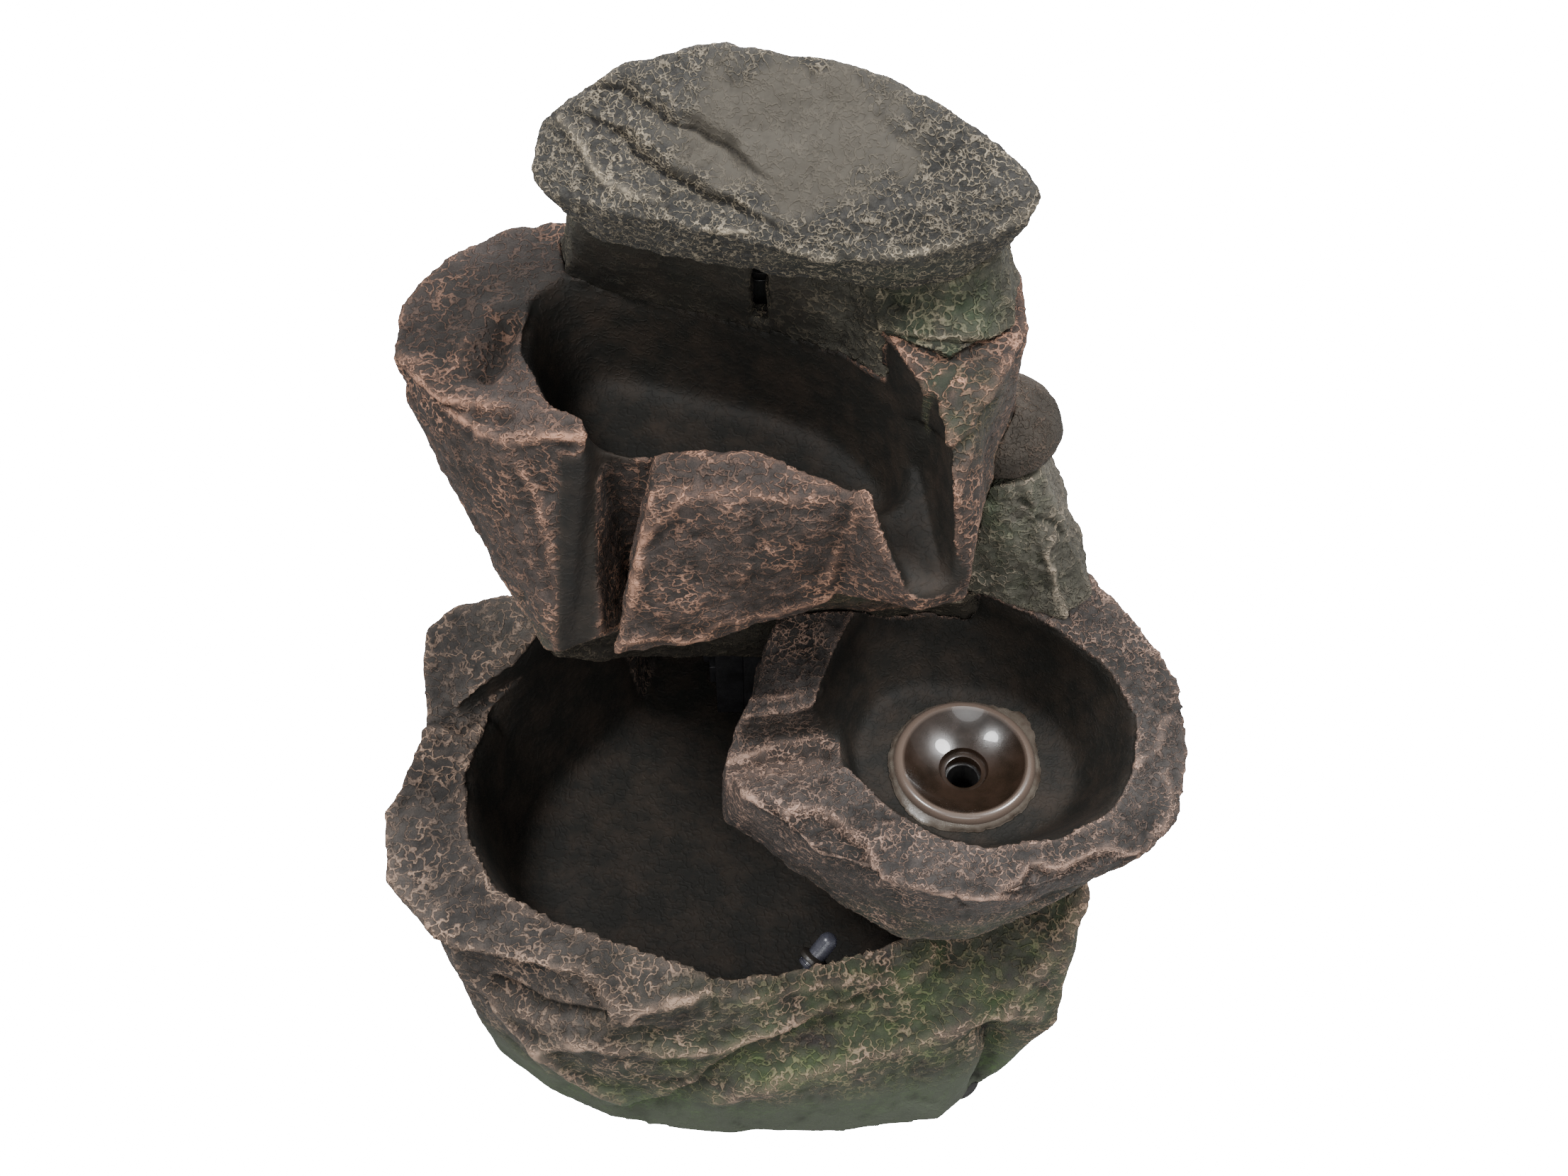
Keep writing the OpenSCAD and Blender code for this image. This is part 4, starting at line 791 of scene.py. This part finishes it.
section = [(hole, -6), (boss, -6), (boss, 0), (flange, 0), (flange, 1.2)]
section += [(17.8, 2.3), (17.2, 3.1), (16.5, 3.5), (15.8, 3.5), (15.3, 3.1)]
section += [(r, ball_height - math.sqrt(ball_radius**2 - r * r))
            for r in (dish_edge, 14.4, 13.6, 12.6, 11.4, 10.2, 9.0, 7.8, 6.7, 6.3)]
section += [(6.1, -1.7), (6.0, -2.5), (5.7, -2.8), (4.9, -2.8), (4.6, -2.9), (hole, -3.2)]
bm = bmesh.new()
corners = [bm.verts.new(round_cup(r, 0, z)) for r, z in section]
outline = [bm.edges.new(pair) for pair in zip(corners, corners[1:] + corners[:1])]
bmesh.ops.spin(bm, geom=corners + outline, cent=(cup_x, cup_y, cup_seat), axis=(0, 0, 1), angle=math.tau,
               steps=128, use_merge=True)
bmesh.ops.recalc_face_normals(bm, faces=bm.faces)
cup_mesh = bpy.data.meshes.new("cup")
bm.to_mesh(cup_mesh)
bm.free()

cup_plastic = moulding_paint("cup_plastic", tone(34, 28, 23), tone(48, 37, 30),
                             gloss=0.22, dull=0.34, bump=0.12, size=130, coat=0.4)
# The rolled rim past the dish is painted a paler brown all round: a painted sheen.
sheen_width = 0.8
rim = cup_mesh.attributes.new("rim", "FLOAT", "POINT")
for v, mark in zip(cup_mesh.vertices, rim.data):
    past_dish = math.hypot(v.co.x - cup_x, v.co.y - cup_y) * 1000 - dish_edge
    mark.value = min(1.0, max(0.0, past_dish / sheen_width))
tree = cup_plastic.node_tree
sheen_mask = put(tree, "ShaderNodeAttribute", attribute_name="rim").outputs["Fac"]
cup_colour = tree.nodes["Principled BSDF"].inputs["Base Color"]
plain = cup_colour.links[0].from_socket
rim_sheen = put(tree, "ShaderNodeMix", {0: sheen_mask, 6: plain, 7: tone(92, 80, 72)}, data_type="RGBA")
tree.links.new(rim_sheen.outputs[2], cup_colour)
made(cup_mesh, "cup", "fountain", "cup_plastic", cup_plastic, "ball_cup")


# ---------------------------------------------------------------- sealant beads
# Clear sealant run round the cup by hand, ragged at its outer edge and spilt wider at the back
# right and the front left, and a small dark bead where the basin lamp comes through the wall.
bead_edge, bead_seat = 19.2, cup_seat + 0.0002


def ripple(turn, level, size):
    """Unevenness of the bead at an angle, the same after a full turn."""
    return noise.noise(Vector((math.cos(turn), math.sin(turn), level)) * size)


bm = bmesh.new()
around = 160
rows = []
for i in range(around):
    turn = math.tau * i / around
    spill = 2.6 * math.exp(-((turn - 0.72) / 0.33) ** 2) + 1.0 * math.exp(-((turn - 4.0) / 0.4) ** 2)
    ragged = 0.35 * ripple(turn, 0.4, 9) + 0.3 * ripple(turn, 2.4, 24)
    out = bead_edge + spill + ragged * (1 + 0.5 * spill)
    high = 1.0 + 0.25 * ripple(turn, 5, 3)
    ring = [(17.7, -0.3), (17.9, high + 0.5), (18.5, high + 0.1), (0.6 * out + 7.4, 0.62 * high)]
    ring += [(out - 0.25, 0.35), (out, 0.1), (out - 0.1, -0.3)]
    rows.append([bm.verts.new(round_cup(r, turn, z, bead_seat)) for r, z in ring])
for i, row in enumerate(rows):
    after = rows[(i + 1) % around]
    for j in range(len(row)):
        k = (j + 1) % len(row)
        bm.faces.new((row[j], after[j], after[k], row[k]))
bmesh.ops.recalc_face_normals(bm, faces=bm.faces)
bead_mesh = bpy.data.meshes.new("cup_bead")
bm.to_mesh(bead_mesh)
bm.free()
sealant = moulding_paint("sealant", tone(126, 118, 108), tone(84, 72, 62),
                         gloss=0.2, dull=0.45, bump=0.5, size=240, clear=0.45)
made(bead_mesh, "cup_bead", "fountain", "sealant", sealant, "cup_seal")
lamp_glue = moulding_paint("lamp_glue", tone(46, 43, 40), tone(34, 31, 28),
                           gloss=0.35, dull=0.55, bump=0.5, size=240)
moulded("led_seal", "lamp_bead", "fountain", "sealant", 0.2, lamp_glue)


# ---------------------------------------------------------------- lamps and leads
# Two small milky lamps, one shining up through the jet and one over the basin. Their thin black
# leads join the pump's lead in a splice block, in the dry space under the basin.
led_lens = moulding_paint("led_lens", tone(104, 105, 118), tone(84, 85, 96),
                          gloss=0.15, dull=0.35, bump=0.3, size=500, clear=0.65)
for node, piece in (("cup_led", "jet_lamp"), ("basin_led", "basin_lamp")):
    moulded(node, piece, "fountain", "led_lens", 0.1, led_lens)
lead_cover = moulding_paint("lead_cover", tone(20, 20, 21), tone(32, 32, 33),
                            gloss=0.35, dull=0.5, bump=0.3, size=350)
for node, piece in (("cup_led_lead", "jet_lamp_lead"), ("basin_led_lead", "basin_lamp_lead"),
                    ("pump_lead", "pump_power_lead")):
    moulded(node, piece, "fountain", "lead_cover", 0.1, lead_cover)
black_plastic = moulding_paint("black_plastic", tone(24, 24, 25), tone(38, 37, 36),
                               gloss=0.3, dull=0.48, bump=0.4, size=260)
moulded("lead_splice", "splice_block", "fountain", "black_plastic", 0.6, black_plastic)


# ---------------------------------------------------------------- pump
# The small water pump on its suction cups: a black case, a push-on intake cover, a slide that
# sets the flow, and the rotor with its ceramic shaft between two rubber bushes.
pump_plastic = moulding_paint("pump_plastic", tone(28, 28, 30), tone(42, 42, 44),
                              gloss=0.34, dull=0.55, bump=0.6, size=220)
moulded("pump_body", "pump_case", "fountain", "pump_plastic", 0.35, pump_plastic)
moulded("volute_plate", "pump_plate", "fountain", "pump_plastic", 0.2, pump_plastic)
moulded("pump_cover", "pump_intake_cover", "intake_cover", "pump_plastic", 0.35, pump_plastic)
regulator_plastic = moulding_paint("regulator_plastic", tone(30, 30, 32), tone(44, 44, 46),
                                   gloss=0.35, dull=0.5, bump=0.4, size=300)
moulded("flow_regulator", "flow_slide", "regulator", "regulator_plastic", 0.3, regulator_plastic)
impeller_plastic = moulding_paint("impeller_plastic", tone(190, 188, 182), tone(158, 154, 146),
                                  gloss=0.3, dull=0.5, bump=0.3, size=320)
moulded("impeller", "pump_rotor", "rotor", "impeller_plastic", 0.2, impeller_plastic)
ceramic = moulding_paint("ceramic", tone(224, 222, 216), tone(200, 197, 190),
                         gloss=0.15, dull=0.28, bump=0.1, size=400)
moulded("impeller_shaft", "pump_shaft", "fountain", "ceramic", 0.15, ceramic)
moulded("shaft_bushes", "pump_bushes", "fountain", "rubber", 0.2, rubber)
moulded("suction_cups", "pump_suckers", "fountain", "rubber", 0.15, rubber)


# ---------------------------------------------------------------- hoses and water fittings
# Soft smoky vinyl hose from the pump to a tee, on up to the slit nozzle in the crown and across
# to the elbow under the jet.
hose_vinyl = moulding_paint("hose_vinyl", tone(58, 59, 58), tone(44, 45, 44),
                            gloss=0.25, dull=0.4, bump=0.2, size=200, clear=0.4)
for node, piece in (("pump_hose", "hose_off_pump"), ("riser_hose", "hose_up"), ("ball_hose", "hose_to_jet")):
    moulded(node, piece, "fountain", "hose_vinyl", 0.2, hose_vinyl)
for node, piece in (("jet_elbow", "elbow"), ("hose_tee", "tee"), ("spring_nozzle", "nozzle")):
    moulded(node, piece, "fountain", "black_plastic", 0.25, black_plastic)
